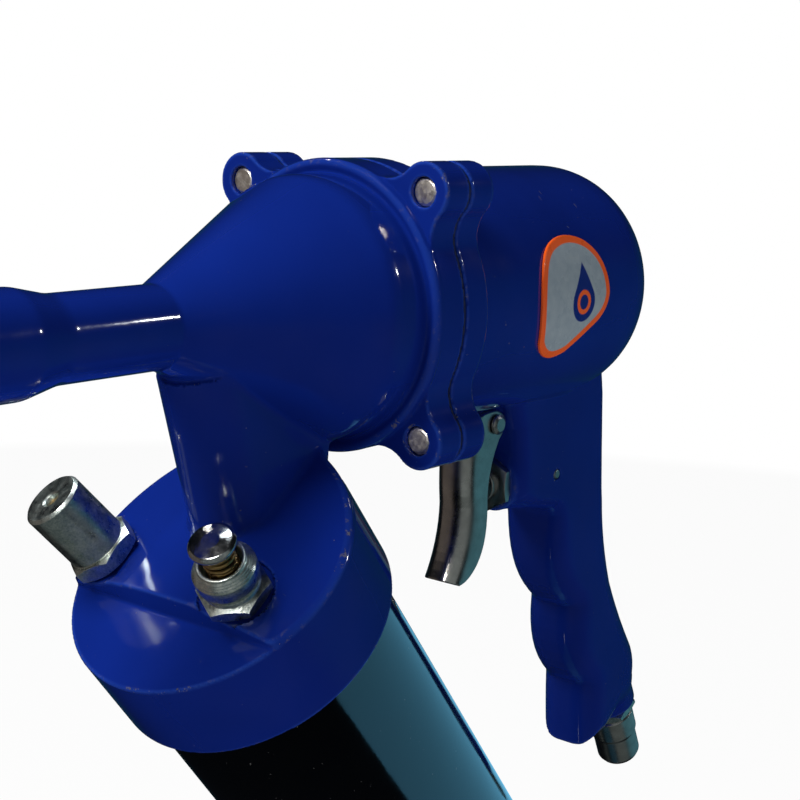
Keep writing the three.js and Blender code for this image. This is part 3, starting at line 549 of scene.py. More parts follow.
def head_cavity(x, y, z):
    """Spring room, packing pocket, pump bore, check seat, grease way and barrel pocket."""
    profile = [
        [NOSE_TIP - 5, 0], [NOSE_TIP - 5, 5.6], [CHECK_SEAT - 2, 5.6], [CHECK_SEAT - 2, 2.2],
        [CHECK_SEAT, 2.2], [CHECK_SEAT, PUMP_BORE], [-34, PUMP_BORE], [-34, 7.2],
        [CAVITY_FRONT, 7.2], [CAVITY_FRONT, 14], [-10, CAVITY_RADIUS], [20, CAVITY_RADIUS], [20, 0],
    ]
    inside = turned_field(BODY, profile, x, y, z)
    inside = join(inside, rod_field(NECK, 3.5, -24, 34, x, y, z))
    pocket = rod_field(BARREL, BARREL_RADIUS + 0.3, -CAP_HEIGHT - 5, -4.6, x, y, z)
    return join(inside, pocket)


def fitting_seats(x, y, z):
    holes = join(rod_field(FILLER, 3.3, -12, 6, x, y, z), rod_field(BLEEDER, 3.3, -12, 6, x, y, z))
    faces = join(rod_field(FILLER, 8.3, 0, 9, x, y, z), rod_field(BLEEDER, 7.8, -1.4, 9, x, y, z))
    return join(holes, faces)


def pump_head_field(x, y, z):
    solid = turned_field(BODY, HEAD_PROFILE, x, y, z)
    bead = np.hypot(np.sqrt(x**2 + z**2) - BEAD_RADIUS, y + 0.1) - BEAD_THICKNESS
    solid = join(solid, bead, 1.3)
    flange = both(both(flange_outline(x, z), -y, 0.5), y - FRONT_PLATE, 0.25)
    solid = join(solid, flange, 0.3)
    neck = rod_field(NECK, NECK_RADIUS, -19, 22, x, y, z)
    web = np.maximum(polygon(y, z, WEB), np.abs(x) - NECK_RADIUS)
    solid = join(solid, join(neck, web), 1.0)
    cap = join(cap_field(x, y, z), rod_field(FILLER, 7, -3, 2, x, y, z))
    solid = join(solid, cap, 1.4)
    solid = without(solid, fitting_seats(x, y, z), 0.15)
    solid = without(solid, ear_holes(x, y, z, SCREW_RADIUS + 0.2, -2, 9), 0.3)
    return without(solid, head_cavity(x, y, z), 0.3)


def head_bare(x, y, z):
    """1 on the machined and inner surfaces, which carry no paint."""
    bore = head_cavity(x, y, z) < 0.35
    back = (y > FRONT_PLATE - 0.2) & (flange_outline(x, z) < -1)
    return (bore | back).astype(float)


def quadratic(a, b, c, steps=10):
    t = np.linspace(0, 1, steps + 1)[:, None]
    a, b, c = np.array(a, float), np.array(b, float), np.array(c, float)
    return [tuple(p) for p in (1 - t) ** 2 * a + 2 * t * (1 - t) * b + t**2 * c]


def grip_outline():
    """The grip seen from the side: valve housing, three finger swells, foot and back."""
    front = [(58, -18), (60.5, -29), (62.6, -35), (63.4, -41), (BOSS_FRONT + 0.6, -51)]
    front += quadratic((BOSS_FRONT + 1.2, -53), (67, -56.4), (78.4, -58.2), 4)
    front += quadratic((79.4, -58.4), (82.8, -58.6), (82.7, -63), 4)
    front += quadratic((82.8, -66), (83.6, -81.5), (93.7, -88.6), 8)
    front += quadratic((93.7, -89), (92.4, -104.6), (102.7, -113), 8)
    front += quadratic((102.9, -113.6), (103.1, -122), (104.2, -131.8), 4)
    foot = [(105, -132.2), (113.5, -130.6), (126.6, -121.6)]
    back = quadratic((127.6, -120.6), (131, -113), (127.2, -106), 6)
    back += quadratic((126.4, -104.8), (107.2, -78), (104.7, -56), 12)
    back += [(103.9, -46), (102.8, -30), (101.4, -22), (92, -18)]
    return front + foot + back


GRIP = grip_outline()


def dome_profile():
    """The air cylinder with its rounded closed end."""
    line = [[REAR_PLATE[0], 0], [REAR_PLATE[0], CYLINDER_RADIUS], [DOME_START, CYLINDER_RADIUS]]
    for share in np.linspace(0.15, 0.995, 14):
        radius = CYLINDER_RADIUS * math.sqrt(1 - share**2.65)
        line.append([DOME_START + DOME_DEPTH * share, radius])
    return line + [[DOME_START + DOME_DEPTH, 0]]


CYLINDER = dome_profile()


def housing_cavity(x, y, z):
    """Air bore, valve bore, air ways and the inlet's threaded hole."""
    profile = [[0, 0], [0, CYLINDER_BORE], [82, CYLINDER_BORE], [BORE_END, 20], [BORE_END, 0]]
    bore = turned_field(BODY, profile, x, y, z)
    valve = rod_field(VALVE, 5.9, BOSS_FRONT - 6, 92, x, y, z)
    transfer = rod_field(Place((0, 81, VALVE_Z), (0, 0, 1)), 2.6, 0, -VALVE_Z, x, y, z)
    supply = rod_field(Place((0, 88, VALVE_Z), (0, 0.45, -0.893)), 3.4, 0, 78, x, y, z)
    inlet = rod_field(INLET, 5.6, -14, 6, x, y, z)
    return join(join(join(bore, valve), join(transfer, supply)), inlet)


def trigger_lug(y, z):
    py, pz = TRIGGER_PIVOT
    outline = [(py - 5, -24), (py - 4.4, pz), (py + 4, pz), (BOSS_FRONT + 4, -39), (BOSS_FRONT + 4, -24)]
    return join(polygon(y, z, outline), np.hypot(y - py, z - pz) - 4.3)


def grip_housing_field(x, y, z):
    solid = turned_field(BODY, CYLINDER, x, y, z)
    flange = both(both(flange_outline(x, z), y - REAR_PLATE[1], 0.9), REAR_PLATE[0] - y, 0.25)
    solid = join(solid, flange, 1.6)
    roundness = 4.2 + 3.3 * np.clip((-z - 60) / 25, 0, 1)
    grip = both(polygon(y, z, GRIP), np.abs(x) - GRIP_HALF_WIDTH, roundness)
    boss = rod_field(VALVE, 7.6, BOSS_FRONT, 84, x, y, z, 0.8)
    grip = join(grip, boss, 2.5)
    lug_half = TRIGGER_HALF_WIDTH - TRIGGER_SHEET - 0.3
    lug = both(trigger_lug(y, z), np.abs(x) - lug_half, 0.5)
    solid = join(join(solid, grip, 1.0), lug, 0.6)
    solid = join(solid, rod_field(INLET, 8.2, -8, 1.2, x, y, z, 0.6), 2.0)
    head_room = ear_holes(x, y, z, SCREW_HEAD_RADIUS + 0.35, REAR_PLATE[1] - 4.8, REAR_PLATE[1] + 9)
    shanks = ear_holes(x, y, z, SCREW_RADIUS + 0.4, REAR_PLATE[0] - 2, REAR_PLATE[1])
    solid = without(solid, join(head_room, shanks), 0.35)
    py, pz = TRIGGER_PIVOT
    pins = join(
        rod_field(across(py, pz), 1.75, -12, 12, x, y, z),
        rod_field(RETAINING_PIN, 1.38, 3, 12, x, y, z),
    )
    solid = without(solid, pins, 0.15)
    return without(solid, housing_cavity(x, y, z), 0.3)


def housing_bare(x, y, z):
    bore = housing_cavity(x, y, z) < 0.35
    front = (y < REAR_PLATE[0] + 0.2) & (flange_outline(x, z) < -1)
    return (bore | front).astype(float)


def trigger_field(x, y, z):
    """A channel of bent sheet, open to the rear, with rounded bends and a flared top."""
    side = np.abs(x) - TRIGGER_HALF_WIDTH
    channel = both(polygon(y, z, TRIGGER_FRONT), side, 5.6)
    outside = both(channel, polygon(y, z, TRIGGER_OUTLINE), 0.4)
    inside = both(polygon(y, z, TRIGGER_HOLLOW), side + TRIGGER_SHEET, 4.4)
    solid = without(outside, inside, 0.3)
    return without(solid, rod_field(across(*TRIGGER_PIVOT), 1.85, -8, 8, x, y, z), 0.15)


def trigger_lines():
    """The trigger seen from the side: its outline, what lies behind its front face, and its hollow."""
    front = quadratic((46.2, -38), (45.7, -46), (46.4, -52), 6)
    front += quadratic((46.5, -53), (46.4, -62), (41.4, -70.3), 8)
    back = quadratic((44.8, -71.6), (54.6, -68.4), (54.8, -56), 10)
    back += quadratic((54.8, -54), (53.9, -45), (58.6, -37.2), 6)
    top = quadratic((59.6, -36.2), (63.6, -31.6), (57.4, -29.6), 6)
    top += quadratic((55, -29.6), (46.6, -29.6), (46.2, -37), 6)
    hollow = [(45.6, -28), (47.5, -37)]
    hollow += quadratic((47.5, -38), (47.0, -46), (47.6, -52), 6)
    hollow += quadratic((47.7, -53), (47.7, -62.8), (42.2, -72), 8)
    hollow += [(58, -76), (68, -60), (68, -28)]
    behind = [(38, -84), (90, -84), (90, -10), (46.2, -10)]
    return front + back + top, front + behind, hollow


TRIGGER_OUTLINE, TRIGGER_FRONT, TRIGGER_HOLLOW = trigger_lines()


# ---- Materials ------------------------------------------------------------------------------------
class Nodes:
    """Short forms for building a material's or the world's node tree."""

    def __init__(self, owner):
        owner.use_nodes = True
        self.owner = owner
        self.tree = owner.node_tree
        self.tree.nodes.clear()

    def link(self, socket, target):
        self.tree.links.new(socket, target)

    def new(self, kind, **settings):
        node = self.tree.nodes.new(kind)
        for key, value in settings.items():
            setattr(node, key, value)
        return node

    def fill(self, node, values, places=None):
        """Puts values or other nodes' outputs into a node's inputs, and returns the node."""
        for place, value in zip(places or range(len(values)), values):
            self.put(node.inputs[place], value)
        return node

    def put(self, socket, value):
        if isinstance(value, bpy.types.NodeSocket):
            self.link(value, socket)
        elif isinstance(value, (tuple, list)) and len(value) == 3 and socket.type == "RGBA":
            socket.default_value = (*value, 1)
        else:
            socket.default_value = value

    def math(self, operation, a, b=0.0, c=0.0, clamp=False):
        node = self.new("ShaderNodeMath", operation=operation, use_clamp=clamp)
        return self.fill(node, (a, b, c)).outputs[0]

    def times(self, a, b):
        return self.math("MULTIPLY", a, b)

    def most(self, a, b, clamp=False):
        return self.math("MAXIMUM", a, b, clamp=clamp)

    def ramp(self, value, low, high, a=0.0, b=1.0, curve="LINEAR"):
        """value mapped from low..high onto a..b, and held at the ends."""
        node = self.new("ShaderNodeMapRange", clamp=True, interpolation_type=curve)
        return self.fill(node, (value, low, high, a, b)).outputs[0]

    def mix(self, factor, a, b):
        node = self.new("ShaderNodeMix", data_type="RGBA")
        return self.fill(node, (factor, a, b), (0, 6, 7)).outputs[2]

    def blend(self, factor, a, b):
        return self.fill(self.new("ShaderNodeMix", data_type="FLOAT"), (factor, a, b), (0, 2, 3)).outputs[0]

    def shaders(self, factor, a, b):
        return self.fill(self.new("ShaderNodeMixShader"), (factor, a, b)).outputs[0]


class Surface(Nodes):
    """A material round one principled shader."""

    def __init__(self, name):
        super().__init__(bpy.data.materials.new(name))
        self.shader = self.new("ShaderNodeBsdfPrincipled")
        self.end = self.new("ShaderNodeOutputMaterial").inputs["Surface"]
        self.link(self.shader.outputs[0], self.end)
        self.position = self.new("ShaderNodeTexCoord").outputs["Object"]

    def set(self, **values):
        for key, value in values.items():
            self.put(self.shader.inputs[key.replace("_", " ")], value)

    def noise(self, scale, detail=3.0, roughness=0.55, stretch=(1, 1, 1), offset=0.0, dots=False):
        """Noise, or spots with dots set, whose scale is given in cycles per millimetre."""
        where = self.new("ShaderNodeMapping")
        where.inputs["Scale"].default_value = [1000 * scale * s for s in stretch]
        where.inputs["Location"].default_value = (offset, offset * 0.7, -offset)
        self.put(where.inputs["Vector"], self.position)
        node = self.new("ShaderNodeTexVoronoi" if dots else "ShaderNodeTexNoise")
        self.fill(node, (where.outputs[0], 1), ("Vector", "Scale"))
        if dots:
            return node.outputs["Distance"]
        return self.fill(node, (detail, roughness), ("Detail", "Roughness")).outputs[0]

    def bump(self, height, depth, after=None):
        """A bump of this depth in millimetres, on top of another normal."""
        inputs = ("Strength", "Distance", "Height")
        node = self.fill(self.new("ShaderNodeBump"), (1.0, depth * MM, height), inputs)
        if after is not None:
            self.put(node.inputs["Normal"], after)
        return node.outputs[0]

    def attribute(self, name):
        return self.new("ShaderNodeAttribute", attribute_name=name).outputs["Fac"]

    def edges(self, width):
        """1 on edges worn by handling: where a bevelled normal differs from the true one."""
        bevel = self.new("ShaderNodeBevel", samples=4)
        bevel.inputs["Radius"].default_value = width * MM
        true = self.new("ShaderNodeNewGeometry").outputs["Normal"]
        dot = self.new("ShaderNodeVectorMath", operation="DOT_PRODUCT")
        self.put(dot.inputs[0], bevel.outputs[0])
        self.put(dot.inputs[1], true)
        return self.ramp(dot.outputs["Value"], 0.995, 0.93)


BLUE = (0.0045, 0.021, 0.235)
CHIP_METAL = (0.50, 0.46, 0.40)


def blue_paint():
    """Thick glossy enamel over a zinc casting: soft orange peel, a painted lighter-blue highlight on convex
    edges, dust specks, chips and scratches.
    """
    n = Surface("blue_enamel")
    edge, bare = n.attribute("edge"), n.attribute("bare")
    broad = n.noise(0.035, 2)
    colour = n.mix(n.ramp(broad, 0.35, 0.7), BLUE, tuple(c * 0.86 for c in BLUE))
    # Painted highlight: convex edges are mixed towards a lighter blue, standing in for light caught on
    # rounded edges.
    painted_edge_highlight = n.ramp(edge, 0.10, 0.34)
    colour = n.mix(n.times(painted_edge_highlight, 0.6), colour, (0.02, 0.07, 0.42))
    # Chips lie on convex edges, where coarse and fine noise agree, and a few lie anywhere.
    patch = n.ramp(n.noise(0.06, 2, offset=3.1), 0.55, 0.66)
    grain = n.noise(0.55, 5, 0.7, offset=1.7)
    chips = n.times(n.ramp(edge, 0.12, 0.24), n.ramp(grain, 0.575, 0.61))
    chips = n.times(chips, n.blend(patch, 0.10, 1.0))
    specks = n.times(n.ramp(n.noise(1.1, 2, offset=9.0), 0.785, 0.80), 0.7)
    scratch_where = n.ramp(n.noise(0.028, 1, offset=6.0), 0.60, 0.70, 0.0, 0.55)
    scratches = n.times(line_scratches(n), scratch_where)
    worn = n.most(n.most(chips, specks), scratches, clamp=True)
    chip_colour = n.mix(n.noise(0.9, 3, offset=4.0), CHIP_METAL, (0.16, 0.13, 0.10))
    colour = n.mix(worn, colour, chip_colour)
    machined = n.mix(n.noise(0.25, 4), (0.30, 0.31, 0.32), (0.46, 0.46, 0.46))
    colour = n.mix(bare, colour, machined)
    metal = n.most(n.times(worn, 0.8), bare)
    haze = n.ramp(n.noise(0.09, 3, offset=8.0), 0.4, 0.8, 0.10, 0.19)
    rough = n.blend(worn, haze, 0.5)
    rough = n.blend(bare, rough, n.ramp(n.noise(0.6, 3), 0.3, 0.7, 0.32, 0.5))
    normal = n.bump(n.noise(0.045, 2, 0.4, offset=2.0), 0.30)
    normal = n.bump(n.noise(0.36, 2, 0.5), 0.022, normal)
    dust = n.ramp(n.noise(0.8, 1, offset=11.0, dots=True), 0.0, 0.16, 1.0, 0.0)
    rare = n.ramp(n.noise(0.21, 1, offset=12.0), 0.62, 0.68)
    normal = n.bump(n.times(dust, rare), 0.05, normal)
    normal = n.bump(worn, -0.06, normal)
    n.set(Base_Color=colour, Metallic=metal, Roughness=rough, Normal=normal)
    n.set(Coat_Weight=n.math("SUBTRACT", 1.0, n.most(worn, bare), clamp=True))
    n.set(Coat_Roughness=0.045, Coat_IOR=1.5, Specular_IOR_Level=0.5)
    return n.owner


def line_scratches(n, scale=0.5, offset=0.0):
    """Fine short scratches in two directions."""
    a = n.noise(scale, 1, stretch=(0.05, 2.2, 0.9), offset=14.0 + offset)
    b = n.noise(scale, 1, stretch=(1.9, 0.06, 1.3), offset=21.0 + offset)
    return n.most(n.ramp(a, 0.775, 0.79), n.ramp(b, 0.775, 0.79))


def metal(name, light, dark, rough, mottle, grain, scratch, wear=0.0):
    """A metal with clouded colour, uneven polish, fine grain and a few scratches."""
    n = Surface(name)
    cloud = n.noise(mottle, 5, 0.65)
    fine = n.noise(mottle * 7, 3, 0.6, offset=2.0)
    tone = n.ramp(n.math("MULTIPLY_ADD", fine, 0.45, n.times(cloud, 0.55)), 0.34, 0.62)
    colour = n.mix(tone, dark, light)
    rubbed = n.edges(0.25) if wear else 0.0
    colour = n.mix(n.times(rubbed, wear), colour, tuple(min(1, c * 1.25) for c in light))
    lines = n.times(line_scratches(n, 0.8, 5.0), scratch)
    colour = n.mix(lines, colour, dark)
    polish = n.ramp(n.noise(mottle * 1.7, 4, 0.6, offset=5.0), 0.3, 0.7, rough * 0.7, rough * 1.35)
    n.set(Base_Color=colour, Metallic=1.0, Roughness=n.blend(lines, polish, rough * 1.6))
    normal = n.bump(n.noise(1.6, 3, 0.6, offset=1.0), grain)
    normal = n.bump(cloud, 0.02, normal)
    n.set(Normal=normal)
    return n.owner


def dull(name, light, dark, rough, bump, scale):
    """Rubber and fibre: a dark skin with clouded tone and fine texture."""
    n = Surface(name)
    tone = n.ramp(n.noise(scale * 0.2, 4, 0.6), 0.3, 0.7)
    colour = n.mix(tone, dark, light)
    dust = n.ramp(n.noise(scale * 2.6, 2, offset=3.0), 0.70, 0.76)
    colour = n.mix(n.times(dust, 0.5), colour, tuple(c * 3 + 0.03 for c in light))
    polish = n.ramp(n.noise(scale * 0.35, 4, offset=5.0), 0.3, 0.7, rough * 0.8, rough * 1.2)
    normal = n.bump(n.noise(scale * 2, 3, 0.6, offset=1.0), bump)
    n.set(Base_Color=colour, Roughness=polish, Normal=normal)
    return n.owner


def barrel_paint(name):
    """Black enamel on drawn tube: very smooth, with faint draw lines, rubs and dust."""
    n = Surface(name)
    tone = n.ramp(n.noise(0.03, 3), 0.35, 0.7)
    colour = n.mix(tone, (0.0010, 0.0013, 0.0018), (0.0018, 0.0022, 0.003))
    rub = n.times(n.edges(0.3), n.ramp(n.noise(0.3, 4, offset=3.0), 0.45, 0.6))
    specks = n.ramp(n.noise(0.9, 2, offset=6.0), 0.74, 0.77)
    worn = n.most(n.times(rub, 0.8), n.times(specks, 0.35))
    colour = n.mix(worn, colour, (0.35, 0.34, 0.32))
    rough = n.blend(worn, n.ramp(n.noise(0.08, 4, offset=2.0), 0.35, 0.75, 0.07, 0.13), 0.5)
    normal = n.bump(n.noise(0.05, 2, 0.4, offset=2.0), 0.10)
    normal = n.bump(n.noise(0.5, 2, offset=4.0), 0.010, normal)
    n.set(Base_Color=colour, Metallic=n.times(worn, 0.7), Roughness=rough, Normal=normal)
    n.set(IOR=1.6)
    return n.owner


def badge_material():
    """A printed plate: grey-blue field, orange rim and a plain grease-drop emblem, by its attributes."""
    n = Surface("badge_print")
    rim, drop, ring = n.attribute("rim"), n.attribute("drop"), n.attribute("ring")
    speck = n.noise(0.5, 4, 0.6)
    field = n.mix(n.ramp(speck, 0.35, 0.65), (0.30, 0.37, 0.43), (0.36, 0.43, 0.48))
    colour = n.mix(n.ramp(drop, -0.12, 0.12, 1.0, 0.0), field, (0.004, 0.022, 0.20))
    colour = n.mix(n.ramp(ring, -0.12, 0.12, 1.0, 0.0), colour, (0.95, 0.13, 0.015))
    colour = n.mix(n.ramp(rim, 1.55, 1.75, 1.0, 0.0), colour, (0.95, 0.12, 0.012))
    scuffs = n.times(line_scratches(n, 0.9, 2.0), 0.25)
    colour = n.mix(scuffs, colour, (0.5, 0.5, 0.5))
    normal = n.bump(n.noise(0.7, 2), 0.008)
    rough = n.ramp(n.noise(0.15, 3, offset=4.0), 0.35, 0.7, 0.24, 0.36)
    n.set(Base_Color=colour, Roughness=rough, Normal=normal, Coat_Weight=0.4, Coat_Roughness=0.08)
    return n.owner


BLACK = barrel_paint("black_enamel")
SCREW_METAL = metal("screw_zinc", (0.92, 0.87, 0.80), (0.58, 0.54, 0.50), 0.46, 0.5, 0.05, 0.4, 0.6)
BUTTON_METAL = metal("button_chrome", (0.66, 0.67, 0.67), (0.26, 0.27, 0.28), 0.16, 0.35, 0.02, 0.3, 0.4)
# Each slot's metal: name, light and dark colour, roughness, mottle, grain, scratches and edge wear.
METAL_LOOKS = {
    "zinc_plate": ("zinc_plate", (0.74, 0.77, 0.72), (0.24, 0.32, 0.33), 0.33, 0.30, 0.03, 0.35, 0.8),
    "chrome": ("chrome_plate", (0.58, 0.56, 0.54), (0.38, 0.37, 0.36), 0.30, 0.05, 0.006, 0.15, 0.3),
    "steel": ("machined_steel", (0.46, 0.46, 0.47), (0.28, 0.28, 0.29), 0.30, 0.15, 0.012, 0.3, 0.4),
    "spring_steel": ("spring_wire", (0.36, 0.36, 0.38), (0.20, 0.20, 0.21), 0.34, 0.3, 0.015, 0.2),
    "brass": ("aged_brass", (0.56, 0.37, 0.15), (0.30, 0.17, 0.07), 0.30, 0.2, 0.015, 0.3, 0.4),
    "alloy": ("turned_alloy", (0.60, 0.61, 0.63), (0.42, 0.43, 0.45), 0.34, 0.2, 0.01, 0.2, 0.3),
}
LOOKS = {slot: metal(*look) for slot, look in METAL_LOOKS.items()}
METALS = (SCREW_METAL, BUTTON_METAL, *LOOKS.values())
LOOKS |= {
    "blue_paint": blue_paint(),
    "black_paint": BLACK,
    "rubber": dull("nitrile_rubber", (0.022, 0.022, 0.024), (0.010, 0.010, 0.011), 0.62, 0.03, 0.4),
    "gasket_fibre": dull("gasket_fibre", (0.012, 0.025, 0.10), (0.005, 0.010, 0.045), 0.6, 0.05, 0.6),
    "badge": badge_material(),
}


# ---- Castings and pressed parts -------------------------------------------------------------------
fine = 1.0


def implicit(node, field, low, high, step, slot, body="gun_body", bare=None):
    return piece(node, implicit_mesh(node, field, low, high, step * fine, bare), slot, body)


low, high = (-34, -101, -86), (34, 9, 34)
implicit("pump_head", pump_head_field, low, high, 0.55, "blue_paint", bare=head_bare)
low, high = (-34, 7, -134), (34, 132, 34)
implicit("grip_housing", grip_housing_field, low, high, 0.6, "blue_paint", bare=housing_bare)
implicit("trigger", trigger_field, (-7, 39, -73), (7, 63, -28), 0.3, "chrome", "trigger")


def handle_field(x, y, z):
    """Moulded cross handle: a hub and a bar that swells at its ends, run together."""
    hub = turned_field(BARREL, filleted(HUB_PROFILE), x, y, z)
    lx, ly, lz = BARREL.local(x, y, z)
    from_bar = np.sqrt((ly - ROD_BOTTOM + 4) ** 2 + lz**2)
    thickness = 4.9 + 0.7 * np.clip((np.abs(lx) - 8) / 17, 0, 1) ** 2
    bar = both(from_bar - thickness, np.abs(lx) - 27, 2.5)
    socket = rod_field(BARREL, 4.3, ROD_BOTTOM - 0.3, ROD_BOTTOM + 12, x, y, z)
    return without(join(hub, bar, 3.0), socket, 0.3)


HUB_PROFILE = [
    [ROD_BOTTOM - 9, 0], [ROD_BOTTOM - 9, 7.6, 2], [ROD_BOTTOM - 3, 8.6, 3],
    [ROD_BOTTOM + 8, 6.4, 1], [ROD_BOTTOM + 8, 0],
]
at, reach = BARREL.world([0, ROD_BOTTOM - 2, 0]), [29, 14, 14]
implicit("rod_handle", handle_field, at - reach, at + reach, 0.55, "black_paint", "follower")


# ---- Fasteners and turned pieces --------------------------------------------------------------------
def turned(node, place, profile, slot, body="gun_body", segments=96, material=None, wave=None):
    return piece(node, turned_mesh(node, place, profile, segments, wave), slot, body, material)


def along(base, corners):
    """Profile corners whose heights are given from a base height."""
    return [[base + height, *rest] for height, *rest in corners]


def loop(corners, steps=4):
    """A closed outline: the first corner, which stays sharp, is reached again at the end."""
    return filleted(corners + corners[:1], steps)[:-1]


def ring_profile(outer, inner, low, high, edge=0.3):
    return loop([
        [(low + high) / 2, inner], [low, inner, edge], [low, outer, edge], [high, outer, edge],
        [high, inner, edge],
    ])


def nut_profile(low, high, flats, bore):
    bevel = [[high, bore + 0.5], [high - 0.5, bore], [low + 0.5, bore]]
    return [[low, bore + 0.5]] + hexagon_band(low, high, flats, 0.3) + bevel


def ball(node, place, radius, height, slot, body):
    arc = np.linspace(0, math.pi, 25)
    profile = [[height - radius * math.cos(a), max(0.0, radius * math.sin(a))] for a in arc]
    profile[0][1] = profile[-1][1] = 0.0
    return turned(node, place, profile, slot, body, 48)


def socket_ring(height):
    """A ring of the screw head's hexagon socket."""
    return lambda angle: (height + 0 * angle, hexagon_radius(4.0, angle))


SCREW_SEAT = REAR_PLATE[1] - 4.5
SCREW_TOP = SCREW_SEAT + 4.2
THREAD = [[y, SCREW_RADIUS - 0.22 * (i % 2)] for i, y in enumerate(np.arange(1.5, 7.0, 0.42))]
screw_profile = (
    [[0.55, 0], [0.5, 1.4], [0.62, 2.35], [1.1, SCREW_RADIUS]] + THREAD
    + filleted([
        [7.2, SCREW_RADIUS], [SCREW_SEAT, SCREW_RADIUS, 0.2], [SCREW_SEAT, SCREW_HEAD_RADIUS, 0.3],
        [SCREW_TOP, SCREW_HEAD_RADIUS, 0.6], [SCREW_TOP, 2.5],
    ])
    + [socket_ring(SCREW_TOP - 0.12), socket_ring(SCREW_TOP - 2.2), [SCREW_TOP - 2.9, 0]]
)
for i, (sx, sz) in enumerate([(1, 1), (-1, 1), (-1, -1), (1, -1)]):
    place = Place((sx * SCREW_OFFSET, 0, sz * SCREW_OFFSET))
    name = f"flange_screw_{i + 1}"
    turned(name, place, screw_profile, "zinc_plate", segments=48, material=SCREW_METAL)


def gasket_field(x, y, z):
    """The flange gasket: the flange's outline less 0.3 mm, pierced for the bore and the screws."""
    ring = both(flange_outline(x, z, 0.3), slab(y, FRONT_PLATE + 0.15, FRONT_PLATE + 0.75), 0.1)
    ring = without(ring, rod_field(BODY, CYLINDER_BORE, 0, 20, x, y, z))
    return without(ring, ear_holes(x, y, z, SCREW_RADIUS + 0.4, 0, 20))


middle = FRONT_PLATE + 0.45
low, high = (-33, middle - 0.7, -33), (33, middle + 0.7, 33)
implicit("flange_gasket", gasket_field, low, high, 0.4, "gasket_fibre")


# ---- Pump and air piston --------------------------------------------------------------------------
gland_back = CAVITY_FRONT + 0.3
turned(
    "packing_gland_nut", BODY,
    [[-30.2, 4.3], [-30.2, 6.5], [-29.9, 6.9], [gland_back, 6.9]]
    + hexagon_band(gland_back, -22.5, 19, 0.4) + [[-22.5, 4.8], [-22.9, 4.3]],
    "brass",
)
turned("plunger_packing", BODY, ring_profile(6.9, 4.3, -33.7, -30.5, 0.25), "rubber")
turned("air_piston", BODY, loop(along(PISTON_FRONT, [
    [1, 4.3], [0, 4.3, 0.2], [0, 21.6, 1.6], [1, 25.1, 0.4], [1.6, 25.1, 0.15], [1.6, 22.6],
    [4.6, 22.6], [4.6, 25.1, 0.15], [6.4, 25.1, 0.6], [6.4, 20, 0.6], [5.2, 18, 0.8],
    [5.2, 10, 0.8], [6.4, 8.5, 0.6], [6.4, 4.3, 0.2],
])), "alloy", "air_piston", 144)
turned("piston_seal", BODY, loop(along(PISTON_FRONT, [
    [3.1, 22.8], [1.8, 22.8, 0.3], [1.8, 25.1, 0.9], [4.4, 25.1, 0.9], [4.4, 22.8, 0.3],
])), "rubber", "air_piston", 144)
turned("pump_plunger", BODY, filleted(
    [[PLUNGER_TIP, 0], [PLUNGER_TIP, PLUNGER_RADIUS, 0.8]] + along(PISTON_FRONT, [
        [-5, PLUNGER_RADIUS, 0.5], [-5, 7, 0.6], [-0.3, 7, 0.4], [-0.3, PLUNGER_RADIUS],
        [11.9, PLUNGER_RADIUS, 0.5], [12.4, 3.2, 0.2], [12.4, 0],
    ])
), "steel", "air_piston", 64)
nut_low = PISTON_FRONT + 6.7
turned("piston_nut", BODY, nut_profile(nut_low, nut_low + 5, 12.9, 4.3), "zinc_plate", "air_piston")
ball("outlet_check_ball", BODY, 3.0, -81.35, "steel", "outlet_ball")
ball("filler_check_ball", FILLER, 1.75, 15.7, "brass", "filler_ball")
turned("outlet_spring_seat", BODY, ring_profile(5.3, 2.0, -98.6, -89, 0.5), "steel", segments=64)


# ---- Springs ----------------------------------------------------------------------------------------
def spring(node, place, radius, wire, low, high, turns, slot="spring_steel", top=False):
    """A round-wire coil from low to high on a place's axis, with a mesh of its own; its low end, or its top
    end with top set, is worked out but not used.
    """
    obj = piece(node, coil_mesh(node, place, radius, wire, low, high, turns), slot)
    anchor = Vector(metres(place.world([0, high if top else low, 0])))
    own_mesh(obj)
    return obj


barrel_floor = BARREL_BOTTOM + 0.3
spring_top = FOLLOWER_TOP - 8.3
spring("return_spring", BODY, 13, 1.1, -25, PISTON_FRONT - 0.3, 8)
spring("follower_spring", BARREL, 22.6, 1.2, barrel_floor, spring_top, 10)
spring("outlet_check_spring", BODY, 3.2, 0.5, -88.8, -83.4, 2.5)
spring("filler_spring", FILLER, 1.3, 0.3, 7, 13.6, 5)
spring("bleeder_spring", BLEEDER, 3, 0.45, 4, 13.5, 4.5, "brass")
spring("valve_spring", VALVE, 3.2, 0.45, 76.3, 91, 6, top=True)


# ---- Grease outlet ------------------------------------------------------------------------------
PIPE_BEND = 60.0
PIPE_ANGLE = math.radians(30)
PIPE_BEND_START = -140.0
PIPE_STRAIGHT = 44.0
PIPE_RADII = (4.0, 2.0)


def pipe_bend(angle):
    """The point of the pipe's bend at this angle from its start."""
    back, drop = PIPE_BEND * math.sin(angle), PIPE_BEND * (1 - math.cos(angle))
    return np.array([0, PIPE_BEND_START - back, -drop])


pipe_dir = np.array([0, -math.cos(PIPE_ANGLE), -math.sin(PIPE_ANGLE)])
bend_end = pipe_bend(PIPE_ANGLE)
COUPLER = Place(bend_end + PIPE_STRAIGHT * pipe_dir, pipe_dir)


